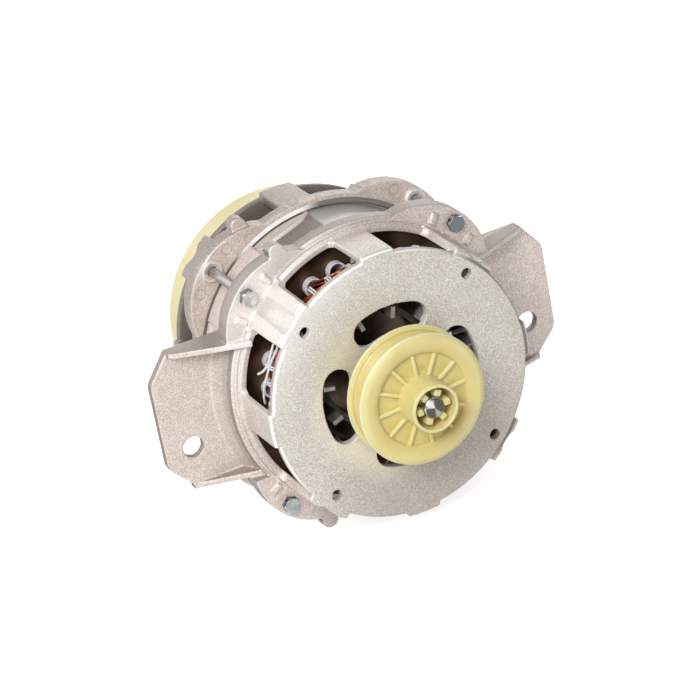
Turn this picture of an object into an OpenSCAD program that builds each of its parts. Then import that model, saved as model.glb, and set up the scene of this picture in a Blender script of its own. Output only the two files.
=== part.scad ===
// Belt drive motor of a washing machine.
// Two cast end brackets clamp a bare laminated stack. A moulded pulley and a
// moulded fan sit on the two ends of the shaft.
// The origin is the centre of the front plate's face, on the shaft's axis.
// The shaft runs along Y with the pulley towards -Y, and the ears lie along X.

/* [Stack] */
// Outer diameter of the laminated stack
stack_od = 140; // [138:0.5:142]
// Length of the laminated stack
stack_length = 44.6; // [40:0.2:60]
// Diameter of the bore for the rotor
stack_bore = 82; // [81.6:0.1:82.4]
// Radial gap between rotor and stack
air_gap = 0.4; // [0.3:0.05:0.8]

/* [Winding] */
// Radius of one bundle of winding wire
bundle_r = 3; // [2.4:0.1:3]
// Reach of the wide coils past the stack
wide_overhang = 24; // [23:0.5:25]
// Reach of the narrow coils past the stack
narrow_overhang = 16.5; // [15:0.5:16.5]
// Reach of the slot liners past the stack
liner_overhang = 3.5; // [2:0.5:5]
// Thickness of the slot liners
liner_t = 0.4; // [0.2:0.1:0.4]
// Thickness of the lacing cord
lacing_d = 1.4; // [1:0.1:1.8]

/* [Brackets] */
// Depth from a bracket's outer face to the stack
bell_depth = 38; // [37:0.5:42]
// Thickness of the brackets' outer plates
plate_t = 4.5; // [3.5:0.5:5]
// Diameter of the circle of the through bolts
bolt_circle = 163.8; // [163:0.2:166]
// Thickness of the bolt lugs
lug_t = 10; // [8:0.5:11]
// Diameter of the circle of the four holes in the front plate
face_hole_circle = 126.8; // [124:0.2:128]
// Diameter of those four holes
face_hole_d = 5.5; // [4:0.1:6.5]
// Middle radius of the curved air openings
vent_r = 35.25; // [35:0.25:36]
// Width of the curved air openings
vent_w = 15.5; // [12:0.5:15.5]

/* [Ears] */
// Distance between the two ear holes
ear_spacing = 192; // [188:1:196]
// How far the ear holes lie below the shaft
ear_drop = 17; // [10:1:20]
// Diameter of the ear holes
ear_hole_d = 11; // [8:0.5:13]
// Thickness of the ear plates
ear_t = 5; // [4:0.5:6]
// Depth of the ears' front face behind the front plate's face
ear_depth = 49.6; // [49:0.2:52]

/* [Bolts] */
// Thread diameter of the through bolts
bolt_d = 5; // [4:0.5:6]
// Width across the flats of the bolt heads
bolt_flats = 8; // [7:0.5:9]
// Height of the bolt heads
bolt_head_h = 4; // [3:0.25:5]

/* [Shaft] */
// Diameter of the pulley's end of the shaft
shaft_d = 11; // [10:0.25:11.5]
// Reach of the shaft in front of the front plate's face
shaft_reach = 36; // [34:0.5:38]
// Diameter of the bearing seats
bearing_bore = 12; // [11.5:0.1:12.5]

/* [Pulley] */
// Diameter of the pulley's flanges
pulley_d = 68.6; // [66:0.2:72]
// Distance from the front flange's rim to the front plate's face
pulley_front = 24.1; // [24:0.1:26]
// Length of the pulley's ribbed rim
pulley_length = 16.5; // [16.5:0.25:18]
// Number of belt grooves
groove_count = 5; // [3:1:5]
// Number of ribs on the pulley's web
pulley_ribs = 12; // [6:1:14]

/* [Fan] */
// Outer diameter of the fan
fan_d = 125.8; // [110:1:132]
// Length of the fan along the shaft
fan_length = 19; // [16:0.5:22]
// Number of long fan blades, each with a short one beside it
fan_blades = 8; // [8:1:12]

/* [Hidden] */

$fn = 96;

// Small helper sizes
over = 1;
snug = 0.03;
hair = 0.05;
block = 60;

// Stack and slots
stack_r = stack_od / 2;
half_plane = stack_r;
bore_r = stack_bore / 2;
stack_front = bell_depth;
stack_back = bell_depth + stack_length;
slot_count = 24;
slot_pitch = 360 / slot_count;
slot_in_r = bore_r + 2.4;
slot_out_r = bore_r + 13.4;
slot_phase = -6;
slot_in_half = 3.45;
slot_out_half = 4.55;
slot_mouth = 2.8;
wedge_t = 1.7;
liner_cut = slot_in_r - bore_r + 1.5;

// Windings: four poles, each with a wide and a narrow coil
pole_count = 4;
pole_pitch = 360 / pole_count;
wide_half = 2.5 * slot_pitch;
narrow_half = 1.5 * slot_pitch;
start_shift = 3 * slot_pitch;
run_leg_r = slot_out_r + 0.5;
start_leg_r = slot_in_r + bundle_r + 0.2;
run_bulge = 5.6;
start_bulge = 0.6;
narrow_share = 0.6;
coil_squareness = 2.6;
end_rings = 10;
bundle_sides = 6;
run_first_angle = 97.5 + slot_phase;
coil_clear = 2;
lacing_sink = 0.3;

// Brackets
tab_r = stack_r + 2.2;
boss_r = stack_r + 3.2;
wall_in_r = stack_r - 3.4;
rim_depth = bell_depth - 6;
lug_face = bell_depth - 4.3;
lug_back = lug_face + lug_t;
flange_face = lug_face + 1.6;
flange_r = stack_r + 6.6;
rim_r = stack_r + 2.4;
rim_edge_r = stack_r + 2.9;
rim_lip_r = stack_r + 3.1;
groove_r = stack_r + 3.8;
shoulder_r = stack_r + 4.3;
lobe_in_r = stack_r + 4.6;
ridge_r = stack_r + 5.2;
land_r = stack_r + 5.6;
edge_r = 1.4;
motor_length = 2 * bell_depth + stack_length;
ridge_h = 0.5;
lobe_r = 38;
bolt_at = bolt_circle / 2;
lobe_at = bolt_at - 31.9;
scallop_r = 10;
scallop_front_r = scallop_r - 0.8;
scallop_back_r = scallop_r + 0.9;
tab_half = 8.8;
boss_half = 12;
boss_back_r = boss_r + 1;
pillar_in_r = stack_r - 20;
pillar_flare = 2.6;
pillar_lean = 0.5;
vent_half_angle = 18.6;
hub_top_r = 26;
hub_end_r = 20.5;
hub_knee_r = hub_end_r + 1;
hub_knee = 5;
seat_clear = 0.08;

// Small round ears on the flanges
lobe_ear_r = 4.3;
lobe_ear_at = 84.2;
lobe_ear_t = 7.4;
foot_angles = [243, 297];
top_ear_angle = 117;

// Raised bars beside the bolts
bar_turn = 8.6;
bar_in = 76;
bar_out = 81.8;
bar_w = 3.2;
bar_h = 2.2;

// Machined mouth of the rear bracket
mouth_r = stack_r + 4.2;
mouth_in_r = rim_r;
mouth_chamfer = 1.6;
mouth_depth = 3.8;
mouth_step = 0.8;

// Rings and marks on the rear bracket's lugs
bolt_ring_h = 0.6;
bolt_ring_w = 3.3;
bolt_sink = 1.2;
bolt_sink_w = 1;
front_hole_clear = 0.25;
rear_hole_clear = 0.05;
mark_turn = 9.3;
mark_at = 81.6;
mark_r = 2.7;
mark_depth = 0.4;

// Skirt of the front bracket over the stack
skirt_in_r = stack_r + 0.3;
skirt_r = stack_r + 2.4;
skirt_lip_r = stack_r + 3.4;
skirt_pad_r = stack_r + 4.8;
skirt_gap = 0.7;
skirt_flare = 6;
skirt_lip_t = 2;
skirt_end = stack_back - (lug_back - bell_depth) - skirt_gap;
skirt_start_angle = 92.5;
skirt_turn = 127.5;
skirt_pad_turn = 34;
skirt_pad_start = 119;

// Through bolts
bolt_reach = 2.8;
bolt_chamfer = 0.8;

// Ears
ear_end = 15.4;
ear_tip = ear_spacing / 2 + ear_end;
ear_top = 37;
ear_bottom = -39.5;
ear_side_cut = 15;
ear_low_cut = 14.5;
ear_high_cut = 11.5;
ear_low_r = 9;
ear_side_r = 8;
ear_upper_r = 7;
ear_high_r = 3;
ear_root_r = 1;
ear_rib_t = 3;
ear_rib_tip = ear_spacing / 2 + 2;
ear_rib_end = ear_rib_tip + 2;
ear_rib_root = 62;
top_rib_slope = 0.49;
top_rib_tip_h = 4.2;
bottom_rib_slope = 0.36;
bottom_rib_tip_h = 0.6;
ear_cone_r = stack_r + 11.2;
ear_waist_r = stack_r + 8;
ear_waist = 9.5;
ear_root_x = 58;

// Bearings, 12 x 32 x 10
bearing_r = 16;
bearing_w = 10;
bearing_in = bearing_bore / 2;
bearing_at = 6;
rear_bearing_at = motor_length - bearing_at - bearing_w;
washer_t = 1;
ball_r = 2.9;
ball_count = 7;
ball_clear = 0.05;
ball_pitch_r = (bearing_in + bearing_r) / 2;
race_r = ball_r + 0.1;
ring_gap = 1.7;
inner_ring_r = ball_pitch_r - ring_gap;
outer_ring_r = ball_pitch_r + ring_gap;
ring_edge = 0.4;
shield_t = 0.5;
shield_in = 0.2;
shield_gap = 0.3;
cage_half_t = ring_gap - 0.9;
cage_front = 3.6;
cage_back = 9;
washer_gap = 0.3;

// Shaft
shaft_r = shaft_d / 2;
core_seat_r = 8.5;
fan_seat_r = 5;
pulley_stop = 3.2;
snap_t = 1;
snap_r = 7.6;
snap_groove_r = bearing_in - 0.4;
hook_groove_r = shaft_r - 0.9;
hook_at = shaft_reach - 3.4;
hook_w = 2.4;
hook_clear = 0.1;
shaft_chamfer = 0.8;
seat_slope = 0.6;

// Rotor
rotor_r = bore_r - air_gap;
bar_count = 30;
cage_bar_r = 1.9;
cage_bar_at = rotor_r - 2.7;
end_ring_r = rotor_r - 0.5;
end_ring_in_r = 28;
end_ring_t = 8;
cage_fins = 12;
cage_fin_phase = 19;
cage_fin_at = 34.7;
cage_fin_half_w = 3;
cage_fin_root = 1.6;
cage_fin_tip = 1.1;
cage_fin_reach = 20;

// Pulley
pulley_r = pulley_d / 2;
belt_r = pulley_r - 3.1;
groove_pitch = 2.1;
groove_depth = 1.9;
groove_land = 0.2;
lip = 0.45;
face_bevel = 3;
front_flange_w = 3.2;
back_flange_w = 2.6;
rim_wall = 1.5;
rim_hollow = 5;
recess_r = 24.1;
web_front = pulley_front - 2.9;
web_t = 2.6;
hub_r = 12.8;
hub_tip_r = 12.5;
hub_bore_r = 10.8;
hub_edge = 0.5;
hub_face = shaft_reach + 1.2;
prong_count = 6;
prong_in = shaft_r + 0.25;
prong_out = 9;
prong_w = 3.4;
prong_tip = shaft_reach - 1;
prong_phase = 3;
prong_floor = 20;
pulley_rib_w = 1.8;
pulley_rib_drop = 1.4;
pulley_rib_up = 0.5;
pulley_rib_phase = 3;

// Fan
fan_r = fan_d / 2;
fan_front = motor_length + 6;
fan_back = fan_front + fan_length;
fan_t = 1.8;
fan_hub_r = 12;
fan_hub_nose = 3;
fan_root_r = 20;
fan_vent_r = 34;
fan_vent_count = 6;
fan_vent_w = 9;
fan_vent_half_angle = 16;
fan_corner = 4.4;
fan_rim_lean = 1.2;
fan_hub_back = fan_back - 4;
fan_blade_t = 1.8;
fan_blade_phase = -1.4;
fan_blade_gap = 5.4;
fan_blade_edge = 1.5;
nut_h = 4.6;
nut_corner_r = 8.2;

// Moves a shape drawn in front view, with its depth along -z, onto the shaft's axis
module on_axis() {
    rotate([90, 0, 0]) children();
}

// A flat shape given in front view, from one depth to another
module slab(front, back) {
    translate([0, 0, -back]) linear_extrude(back - front) children();
}

// A turned shape whose outline is a list of [radius, depth] points
module turned(outline) {
    rotate_extrude() polygon([for (p = outline) [p[0], -p[1]]]);
}

// A turned shape that goes only part of the way round
module turned_part(outline, start, turn) {
    rotate([0, 0, start]) rotate_extrude(angle = turn) polygon([for (p = outline) [p[0], -p[1]]]);
}

// A prism along the radius, whose outline is a list of [sideways, depth] points
module radial_prism(inner, outer, outline) {
    translate([inner, 0, 0]) rotate([90, 0, 90])
        linear_extrude(outer - inner) polygon([for (p = outline) [p[0], -p[1]]]);
}

// A quarter round of an outline, for rounded edges
function quarter(center, radius, from, steps = 5) =
    [for (i = [0 : steps]) let (a = from + 90 * i / steps) center + radius * [cos(a), sin(a)]];

// Corners of an outline rounded with arcs, each corner given as [x, y, radius]
function corner_arc(before, here, after, steps = 6) =
    let (
        p = [here[0], here[1]],
        u = unit([before[0], before[1]] - p),
        v = unit([after[0], after[1]] - p),
        half = acos(u * v) / 2,
        reach = here[2] / tan(half),
        middle = p + unit(u + v) * here[2] / sin(half),
        start = p + u * reach - middle,
        stop = p + v * reach - middle
    )
    [for (i = [0 : steps]) middle + here[2] * unit(start * (steps - i) + stop * i)];
function unit(v) = v / norm(v);
function rounded(corners) =
    let (n = len(corners))
    [for (i = [0 : n - 1]) each corner_arc(corners[(i + n - 1) % n], corners[i], corners[(i + 1) % n])];

// A slot bent round the axis, with round ends that stand a hair inside its sides
module arc_slot(radius, width, half_angle) {
    difference() {
        circle(radius + width / 2);
        circle(radius - width / 2);
        rotate(half_angle) translate([-half_plane, 0]) square([2 * half_plane, half_plane]);
        rotate(-half_angle) translate([-half_plane, -half_plane]) square([2 * half_plane, half_plane]);
    }
    for (side = [-1, 1]) rotate(side * half_angle) translate([radius, 0]) circle(width / 2 - hair);
}

// One bell of a bracket: outer plate, eight pillars and the ring that holds the stack
module bell() {
    // outer plate with rounded edges
    turned(concat(
        [[0, 0]],
        quarter([stack_r - edge_r, edge_r], edge_r, -90),
        [[stack_r, plate_t], [0, plate_t]]
    ));
    // narrow pillars
    intersection() {
        turned(concat(
            [[wall_in_r, 0]],
            quarter([tab_r - edge_r, edge_r], edge_r, -90),
            [[tab_r, lug_face], [wall_in_r, lug_face]]
        ));
        for (a = [0 : 90 : 270]) rotate([0, 0, a]) radial_prism(pillar_in_r, tab_r + over, pillar(tab_half));
    }
    // wide pillars, hollowed for the bolt heads
    difference() {
        intersection() {
            turned(concat(
                [[wall_in_r, 0]],
                quarter([boss_r - edge_r, edge_r], edge_r, -90),
                [[boss_back_r, lug_face], [wall_in_r, lug_face]]
            ));
            for (a = [45 : 90 : 315]) {
                rotate([0, 0, a]) radial_prism(pillar_in_r, boss_back_r + 2 * over, pillar(boss_half));
            }
        }
        for (a = [45 : 90 : 315]) {
            rotate([0, 0, a]) translate([bolt_at, 0, -lug_face - over])
                cylinder(h = lug_face + 2 * over, r1 = scallop_front_r, r2 = scallop_back_r);
        }
    }
    // ring with its small ridges, seat and stop for the stack
    turned([
        [wall_in_r, rim_depth], [rim_r, rim_depth], [rim_edge_r, rim_depth + 0.6],
        [rim_lip_r, lug_face + ridge_h], [groove_r, lug_face + ridge_h], [shoulder_r, lug_face - ridge_h],
        [ridge_r, lug_face - 0.3], [land_r, flange_face], [flange_r, flange_face + 0.4],
        [flange_r, lug_back], [stack_r + seat_clear, lug_back], [stack_r + seat_clear, bell_depth],
        [wall_in_r, bell_depth]
    ]);
}

// Sides of a pillar, which flare out into the ring
function pillar(half) = [
    [-half, -over], [half, -over], [half + pillar_lean, rim_depth - pillar_flare],
    [half + pillar_flare, rim_depth], [half + pillar_flare, lug_face + over],
    [-half - pillar_flare, lug_face + over], [-half - pillar_flare, rim_depth],
    [-half - pillar_lean, rim_depth - pillar_flare]
];

// The four bolt lugs as round lobes of the ring
module lobes() {
    slab(lug_face, lug_back) difference() {
        for (a = [45 : 90 : 315]) rotate(a) translate([lobe_at, 0]) circle(lobe_r);
        circle(lobe_in_r);
    }
}

// Small round ears at the given angles
module small_ears(angles) {
    slab(lug_face, lug_face + lobe_ear_t) for (a = angles) rotate(a) {
        translate([lobe_ear_at, 0]) circle(lobe_ear_r);
        translate([flange_r - 1, -lobe_ear_r]) square([lobe_ear_at - flange_r + 1, 2 * lobe_ear_r]);
    }
}

// Bolt holes through the lugs
module bolt_holes(radius) {
    for (a = [45 : 90 : 315]) {
        rotate([0, 0, a]) translate([bolt_at, 0, -lug_back - over]) cylinder(h = lug_t + 2 * over, r = radius);
    }
}

// Boss round a bearing, with its seat and the hole for the shaft
module bearing_boss() {
    turned([
        [0, plate_t - over], [hub_top_r, plate_t - over], [hub_top_r, plate_t],
        [hub_knee_r, plate_t + hub_knee], [hub_end_r, bearing_at + bearing_w], [0, bearing_at + bearing_w]
    ]);
}
module bearing_seat(depth) {
    turned([[0, depth], [bearing_r, depth], [bearing_r, bell_depth], [0, bell_depth]]);
    turned([[0, -over], [core_seat_r, -over], [core_seat_r, depth + over], [0, depth + over]]);
}

// Air openings through a plate
module vents() {
    slab(-over, plate_t + over) for (a = [0 : 90 : 270]) rotate(a) arc_slot(vent_r, vent_w, vent_half_angle);
}

// Outline of one ear plate, seen from the front on the +X side
ear_outline = [
    [ear_root_x, ear_bottom, ear_root_r], [ear_tip - ear_low_cut, ear_bottom, ear_low_r],
    [ear_tip, ear_bottom + ear_side_cut, ear_side_r], [ear_tip, ear_top - ear_side_cut, ear_upper_r],
    [ear_tip - ear_high_cut, ear_top, ear_high_r], [ear_root_x, ear_top, ear_root_r]
];

// One ear with its gussets, on the +X side
module ear() {
    slab(ear_depth, ear_depth + ear_t) difference() {
        polygon(rounded(ear_outline));
        translate([ear_spacing / 2, -ear_drop]) circle(ear_hole_d / 2);
    }
    // sloping web between the ring and the ear plate
    intersection() {
        turned([
            [rim_r, lug_face + 1], [ridge_r, lug_face + 1], [land_r, lug_face + 3],
            [ear_waist_r, lug_face + ear_waist], [ear_cone_r, ear_depth], [ear_cone_r, ear_depth + ear_t],
            [rim_r, ear_depth + ear_t]
        ]);
        translate([ear_root_x, ear_bottom, -ear_depth - 2 * ear_t]) cube([block, ear_top - ear_bottom, block]);
    }
    gusset(ear_top, top_rib_slope, top_rib_tip_h);
    gusset(ear_bottom + ear_rib_t, bottom_rib_slope, bottom_rib_tip_h);
}

// Sloping rib along one edge of an ear, whose front edge rises by its slope towards the stack
module gusset(edge, slope, tip_h) {
    translate([0, edge, 0]) rotate([90, 0, 0]) linear_extrude(ear_rib_t) polygon([
        [ear_rib_root, -ear_depth - ear_t],
        [ear_rib_root, -ear_depth + tip_h + slope * (ear_rib_tip - ear_rib_root)],
        [ear_rib_tip, -ear_depth + tip_h],
        [ear_rib_end, -ear_depth + tip_h / 2],
        [ear_rib_end, -ear_depth - ear_t]
    ]);
}

// Skirt that covers part of the stack, from one start angle, before it is bored out
module skirt(start) {
    turned_part([
        [stack_r - over, lug_back - 2 * over], [skirt_r, lug_back - 2 * over], [skirt_r, skirt_end - skirt_flare],
        [skirt_lip_r, skirt_end - skirt_lip_t], [skirt_lip_r, skirt_end], [stack_r - over, skirt_end]
    ], start, skirt_turn);
    turned_part([
        [skirt_r - over, lug_back - 2 * over], [skirt_pad_r, lug_back - 2 * over],
        [skirt_pad_r, skirt_end - skirt_lip_t], [skirt_lip_r, skirt_end - hair], [skirt_r - over, skirt_end - hair]
    ], start + skirt_pad_start - skirt_start_angle, skirt_pad_turn);
}

module front_bracket() {
    color("silver") on_axis() difference() {
        union() {
            bell();
            difference() {
                lobes();
                for (side = [0, 180]) rotate([0, 0, side]) {
                    translate([ear_root_x, side == 0 ? ear_bottom : -ear_top, -lug_back - over])
                        cube([block, ear_top - ear_bottom, lug_back + 2 * over]);
                }
            }
            small_ears(concat([top_ear_angle], foot_angles));
            ear();
            mirror([1, 0, 0]) ear();
            skirt(skirt_start_angle);
            skirt(skirt_start_angle + 180);
            bearing_boss();
            // raised bars beside the bolts
            for (a = [45 : 90 : 315], side = [-1, 1]) rotate([0, 0, a + side * bar_turn]) {
                translate([0, -bar_w / 2, 0]) rotate([90, 0, 180]) linear_extrude(bar_w)
                    polygon([[-bar_in, -lug_face - 1], [-bar_out, -lug_face - 1], [-bar_out, -lug_face + bar_h / 2],
                             [-bar_in, -lug_face + bar_h]]);
            }
        }
        vents();
        bearing_seat(bearing_at);
        bolt_holes(bolt_d / 2 + front_hole_clear);
        for (a = [45 : 90 : 315]) rotate([0, 0, a]) translate([face_hole_circle / 2, 0, -plate_t - over])
            cylinder(h = plate_t + 2 * over, d = face_hole_d);
        // nothing of the casting reaches into the bore of the stack
        turned([[0, bell_depth], [stack_r + seat_clear, bell_depth], [stack_r + seat_clear, lug_back],
                [0, lug_back]]);
        turned([[0, lug_back - over], [skirt_in_r, lug_back - over], [skirt_in_r, skirt_end + over],
                [0, skirt_end + over]]);
    }
}

module rear_bracket() {
    color("silver") on_axis() translate([0, 0, -motor_length]) mirror([0, 0, 1]) difference() {
        union() {
            bell();
            lobes();
            small_ears(concat([top_ear_angle], foot_angles));
            bearing_boss();
            // raised rings where the bolts enter
            for (a = [45 : 90 : 315]) rotate([0, 0, a]) translate([bolt_at, 0, -lug_back - bolt_ring_h])
                cylinder(h = lug_t, r = bolt_d / 2 + bolt_ring_w);
        }
        vents();
        bearing_seat(bearing_at - washer_t);
        bolt_holes(bolt_d / 2 + rear_hole_clear);
        for (a = [45 : 90 : 315]) rotate([0, 0, a]) translate([bolt_at, 0, -lug_back - over])
            cylinder(h = over + bolt_sink, r = bolt_d / 2 + bolt_sink_w);
        // shallow round marks of the casting's ejector pins
        for (a = [45 : 90 : 315], side = [-1, 1]) rotate([0, 0, a + side * mark_turn])
            translate([mark_at, 0, -lug_back - over]) cylinder(h = over + mark_depth, r = mark_r);
        turned([[0, bell_depth], [stack_r + seat_clear, bell_depth], [stack_r + seat_clear, lug_back],
                [0, lug_back]]);
        // wide machined mouth that lets the stack in
        turned([[0, lug_back - mouth_depth], [stack_r + seat_clear, lug_back - mouth_depth],
                [mouth_in_r, lug_back - mouth_depth + mouth_step], [mouth_in_r, lug_back - mouth_chamfer],
                [mouth_r, lug_back], [mouth_r, lug_back + over], [0, lug_back + over]]);
    }
}

module through_bolts() {
    head_r = bolt_flats / sqrt(3);
    head_top = lug_face - bolt_head_h;
    bolt_end = motor_length - lug_face + bolt_reach;
    color("gainsboro") on_axis() for (a = [45 : 90 : 315]) rotate([0, 0, a]) translate([bolt_at, 0, 0]) {
        intersection() {
            translate([0, 0, -lug_face]) cylinder(h = bolt_head_h, r = head_r, $fn = 6);
            turned([
                [0, lug_face], [head_r, lug_face], [head_r, head_top + bolt_chamfer], [bolt_flats / 2, head_top],
                [0, head_top]
            ]);
        }
        turned([
            [0, lug_face - over / 2], [bolt_d / 2, lug_face - over / 2], [bolt_d / 2, bolt_end - bolt_chamfer],
            [bolt_d / 2 - bolt_chamfer, bolt_end], [0, bolt_end]
        ]);
    }
}

// Cross section of one stator slot along +x, drawn in by an inset
module slot_shape(inset) {
    polygon([
        [slot_in_r + inset, -slot_in_half + inset], [slot_out_r, -slot_out_half + inset],
        [slot_out_r, slot_out_half - inset], [slot_in_r + inset, slot_in_half - inset]
    ]);
    translate([slot_out_r, 0]) circle(slot_out_half - inset, $fn = 32);
}

module stator_core() {
    color("silver") on_axis() slab(stack_front, stack_back) difference() {
        circle(stack_r);
        circle(bore_r);
        for (i = [0 : slot_count - 1]) rotate(slot_phase + i * slot_pitch) {
            slot_shape(0);
            translate([bore_r - over, -slot_mouth / 2]) square([slot_in_r - bore_r + 2 * over, slot_mouth]);
        }
    }
}

module slot_liners() {
    color("white") on_axis() for (i = [0 : slot_count - 1]) rotate([0, 0, slot_phase + i * slot_pitch]) {
        slab(stack_front - liner_overhang, stack_back + liner_overhang) difference() {
            slot_shape(hair);
            slot_shape(hair + liner_t);
            translate([bore_r, -slot_mouth / 2]) square([liner_cut, slot_mouth]);
        }
        // folded cuffs that keep the liners from sliding
        for (front = [stack_front - liner_overhang, stack_back]) {
            slab(front, front + liner_overhang) difference() {
                slot_shape(-liner_t);
                slot_shape(2 * hair);
                translate([bore_r, -slot_mouth / 2]) square([liner_cut, slot_mouth]);
            }
        }
    }
}

module slot_wedges() {
    color("tan") on_axis() slab(stack_front - over, stack_back + over) for (i = [0 : slot_count - 1]) {
        rotate(slot_phase + i * slot_pitch) translate([slot_in_r - wedge_t, -slot_mouth / 2 + hair])
            square([wedge_t, slot_mouth - 2 * hair]);
    }
}

// Route of one coil: two straight legs in slots, joined by an arch at each end.
// A point is [angle, radius, depth].
function arch_point(turn, half, overhang, leg_r, bulge) =
    let (
        across = sign(cos(turn)) * pow(abs(cos(turn)), 2 / coil_squareness),
        out = pow(abs(sin(turn)), 2 / coil_squareness)
    )
    [half * across, leg_r + bulge * out, (overhang - coil_clear) * out];
function coil_route(middle, half, overhang, leg_r, bulge) = concat(
    [[middle + half, leg_r, stack_front - coil_clear]],
    [for (i = [1 : end_rings])
        let (p = arch_point(180 * (i - 0.5) / end_rings, half, overhang, leg_r, bulge))
        [middle + p[0], p[1], stack_front - coil_clear - p[2]]],
    [[middle - half, leg_r, stack_front - coil_clear]],
    [[middle - half, leg_r, stack_back + coil_clear]],
    [for (i = [1 : end_rings])
        let (p = arch_point(180 * (i - 0.5) / end_rings, half, overhang, leg_r, bulge))
        [middle - p[0], p[1], stack_back + coil_clear + p[2]]],
    [[middle + half, leg_r, stack_back + coil_clear]]
);
function placed(p) = [p[1] * cos(p[0]), p[1] * sin(p[0]), -p[2]];
function placed_all(route) = [for (p = route) placed(p)];

// A closed tube along a ring of points; its sides keep facing away from the axis
function tube_points(line, radius, sides) =
    let (n = len(line))
    [for (i = [0 : n - 1])
        let (
            forward = unit(line[(i + 1) % n] - line[(i + n - 1) % n]),
            away = [line[i][0], line[i][1], 0],
            out = unit(away - (away * forward) * forward),
            side = cross(forward, out)
        )
        for (k = [0 : sides - 1]) line[i] + radius * (cos(360 * k / sides) * out + sin(360 * k / sides) * side)];
function tube_faces(rings, sides) =
    [for (i = [0 : rings - 1], k = [0 : sides - 1])
        let (
            a = i * sides + k,
            b = i * sides + (k + 1) % sides,
            c = ((i + 1) % rings) * sides + (k + 1) % sides,
            d = ((i + 1) % rings) * sides + k
        )
        each [[a, b, c], [a, c, d]]];
module closed_tube(line, radius, sides) {
    polyhedron(points = tube_points(line, radius, sides), faces = tube_faces(len(line), sides), convexity = 6);
}

function pole_routes(first, leg_r, bulge) =
    [for (pole = [0 : pole_count - 1]) each [
        placed_all(coil_route(first + pole * pole_pitch, wide_half, wide_overhang, leg_r, bulge)),
        placed_all(coil_route(first + pole * pole_pitch, narrow_half, narrow_overhang, leg_r, bulge * narrow_share))
    ]];
run_routes = pole_routes(run_first_angle, run_leg_r, run_bulge);
start_routes = pole_routes(run_first_angle + start_shift, start_leg_r, start_bulge);

// Least gap between the bundles, measured between the points of different loops,
// and between points of one loop that are at least four rings apart
function gap_between(one, other) = min([for (p = one, q = other) norm(p - q)]) - 2 * bundle_r;
function gap_in(loop) = let (n = len(loop)) min([for (i = [0 : n - 5], j = [i + 4 : n - 1])
    if (i + n - j >= 4) norm(loop[i] - loop[j])]) - 2 * bundle_r;
all_routes = concat(run_routes, start_routes);
echo(least_gap_between_loops = min([for (i = [0 : len(all_routes) - 2], j = [i + 1 : len(all_routes) - 1])
    gap_between(all_routes[i], all_routes[j])]));
echo(least_gap_of_a_loop_to_itself = min([for (loop = all_routes) gap_in(loop)]));

module run_winding() {
    color("sienna") on_axis() for (line = run_routes) closed_tube(line, bundle_r, bundle_sides);
}

module start_winding() {
    color("peru") on_axis() for (line = start_routes) closed_tube(line, bundle_r, bundle_sides);
}

// Hoop of lacing cord on the crown of the wide coils
module lacing(crown_depth, away) {
    reach = (bundle_r - lacing_sink + lacing_d / 2) / sqrt(2);
    color("white") on_axis() translate([0, 0, -crown_depth + away * reach])
        rotate_extrude() translate([run_leg_r + run_bulge + reach, 0]) circle(d = lacing_d, $fn = 24);
}
module front_lacing() {
    lacing(stack_front - wide_overhang, 1);
}
module rear_lacing() {
    lacing(stack_back + wide_overhang, -1);
}

module shaft() {
    front_seat = bearing_at + bearing_w;
    fan_stop = fan_front - fan_hub_nose;
    shaft_end = fan_back + 2;
    color("silver") on_axis() turned([
        [0, -shaft_reach], [shaft_r - shaft_chamfer, -shaft_reach], [shaft_r, -shaft_reach + shaft_chamfer],
        [shaft_r, -hook_at], [hook_groove_r, -hook_at], [hook_groove_r, -hook_at + hook_w],
        [shaft_r, -hook_at + hook_w], [shaft_r, -pulley_stop], [bearing_in, -pulley_stop],
        [bearing_in, bearing_at - snap_t], [snap_groove_r, bearing_at - snap_t], [snap_groove_r, bearing_at],
        [bearing_in, bearing_at], [bearing_in, front_seat], [core_seat_r, front_seat + seat_slope],
        [core_seat_r, rear_bearing_at - seat_slope], [bearing_in, rear_bearing_at], [bearing_in, fan_stop],
        [fan_seat_r, fan_stop], [fan_seat_r, shaft_end - shaft_chamfer],
        [fan_seat_r - shaft_chamfer, shaft_end], [0, shaft_end]
    ]);
}

module rotor_core() {
    color("dimgray") on_axis() slab(stack_front, stack_back) difference() {
        circle(rotor_r);
        circle(core_seat_r);
        for (i = [0 : bar_count - 1]) rotate(i * 360 / bar_count) translate([cage_bar_at, 0]) circle(cage_bar_r, $fn = 24);
    }
}

// Tapered fin on an end ring, pointing away from the core
module cage_fin(foot, away, reach) {
    radial_prism(cage_fin_at - cage_fin_half_w, cage_fin_at + cage_fin_half_w, [
        [-cage_fin_root, foot - away * over], [-cage_fin_tip, foot + away * reach],
        [cage_fin_tip, foot + away * reach], [cage_fin_root, foot - away * over]
    ]);
}

module rotor_cage() {
    color("lightgray") on_axis() {
        for (start = [stack_front - end_ring_t, stack_back]) {
            turned([[end_ring_in_r, start], [end_ring_r, start], [end_ring_r, start + end_ring_t],
                    [end_ring_in_r, start + end_ring_t]]);
        }
        slab(stack_front - over, stack_back + over) for (i = [0 : bar_count - 1]) {
            rotate(i * 360 / bar_count) translate([cage_bar_at, 0]) circle(cage_bar_r, $fn = 24);
        }
        for (i = [0 : cage_fins - 1]) rotate([0, 0, cage_fin_phase + i * 360 / cage_fins]) {
            cage_fin(stack_front - end_ring_t, -1, cage_fin_reach);
            cage_fin(stack_back + end_ring_t, 1, cage_fin_reach / 2);
        }
    }
}

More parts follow.
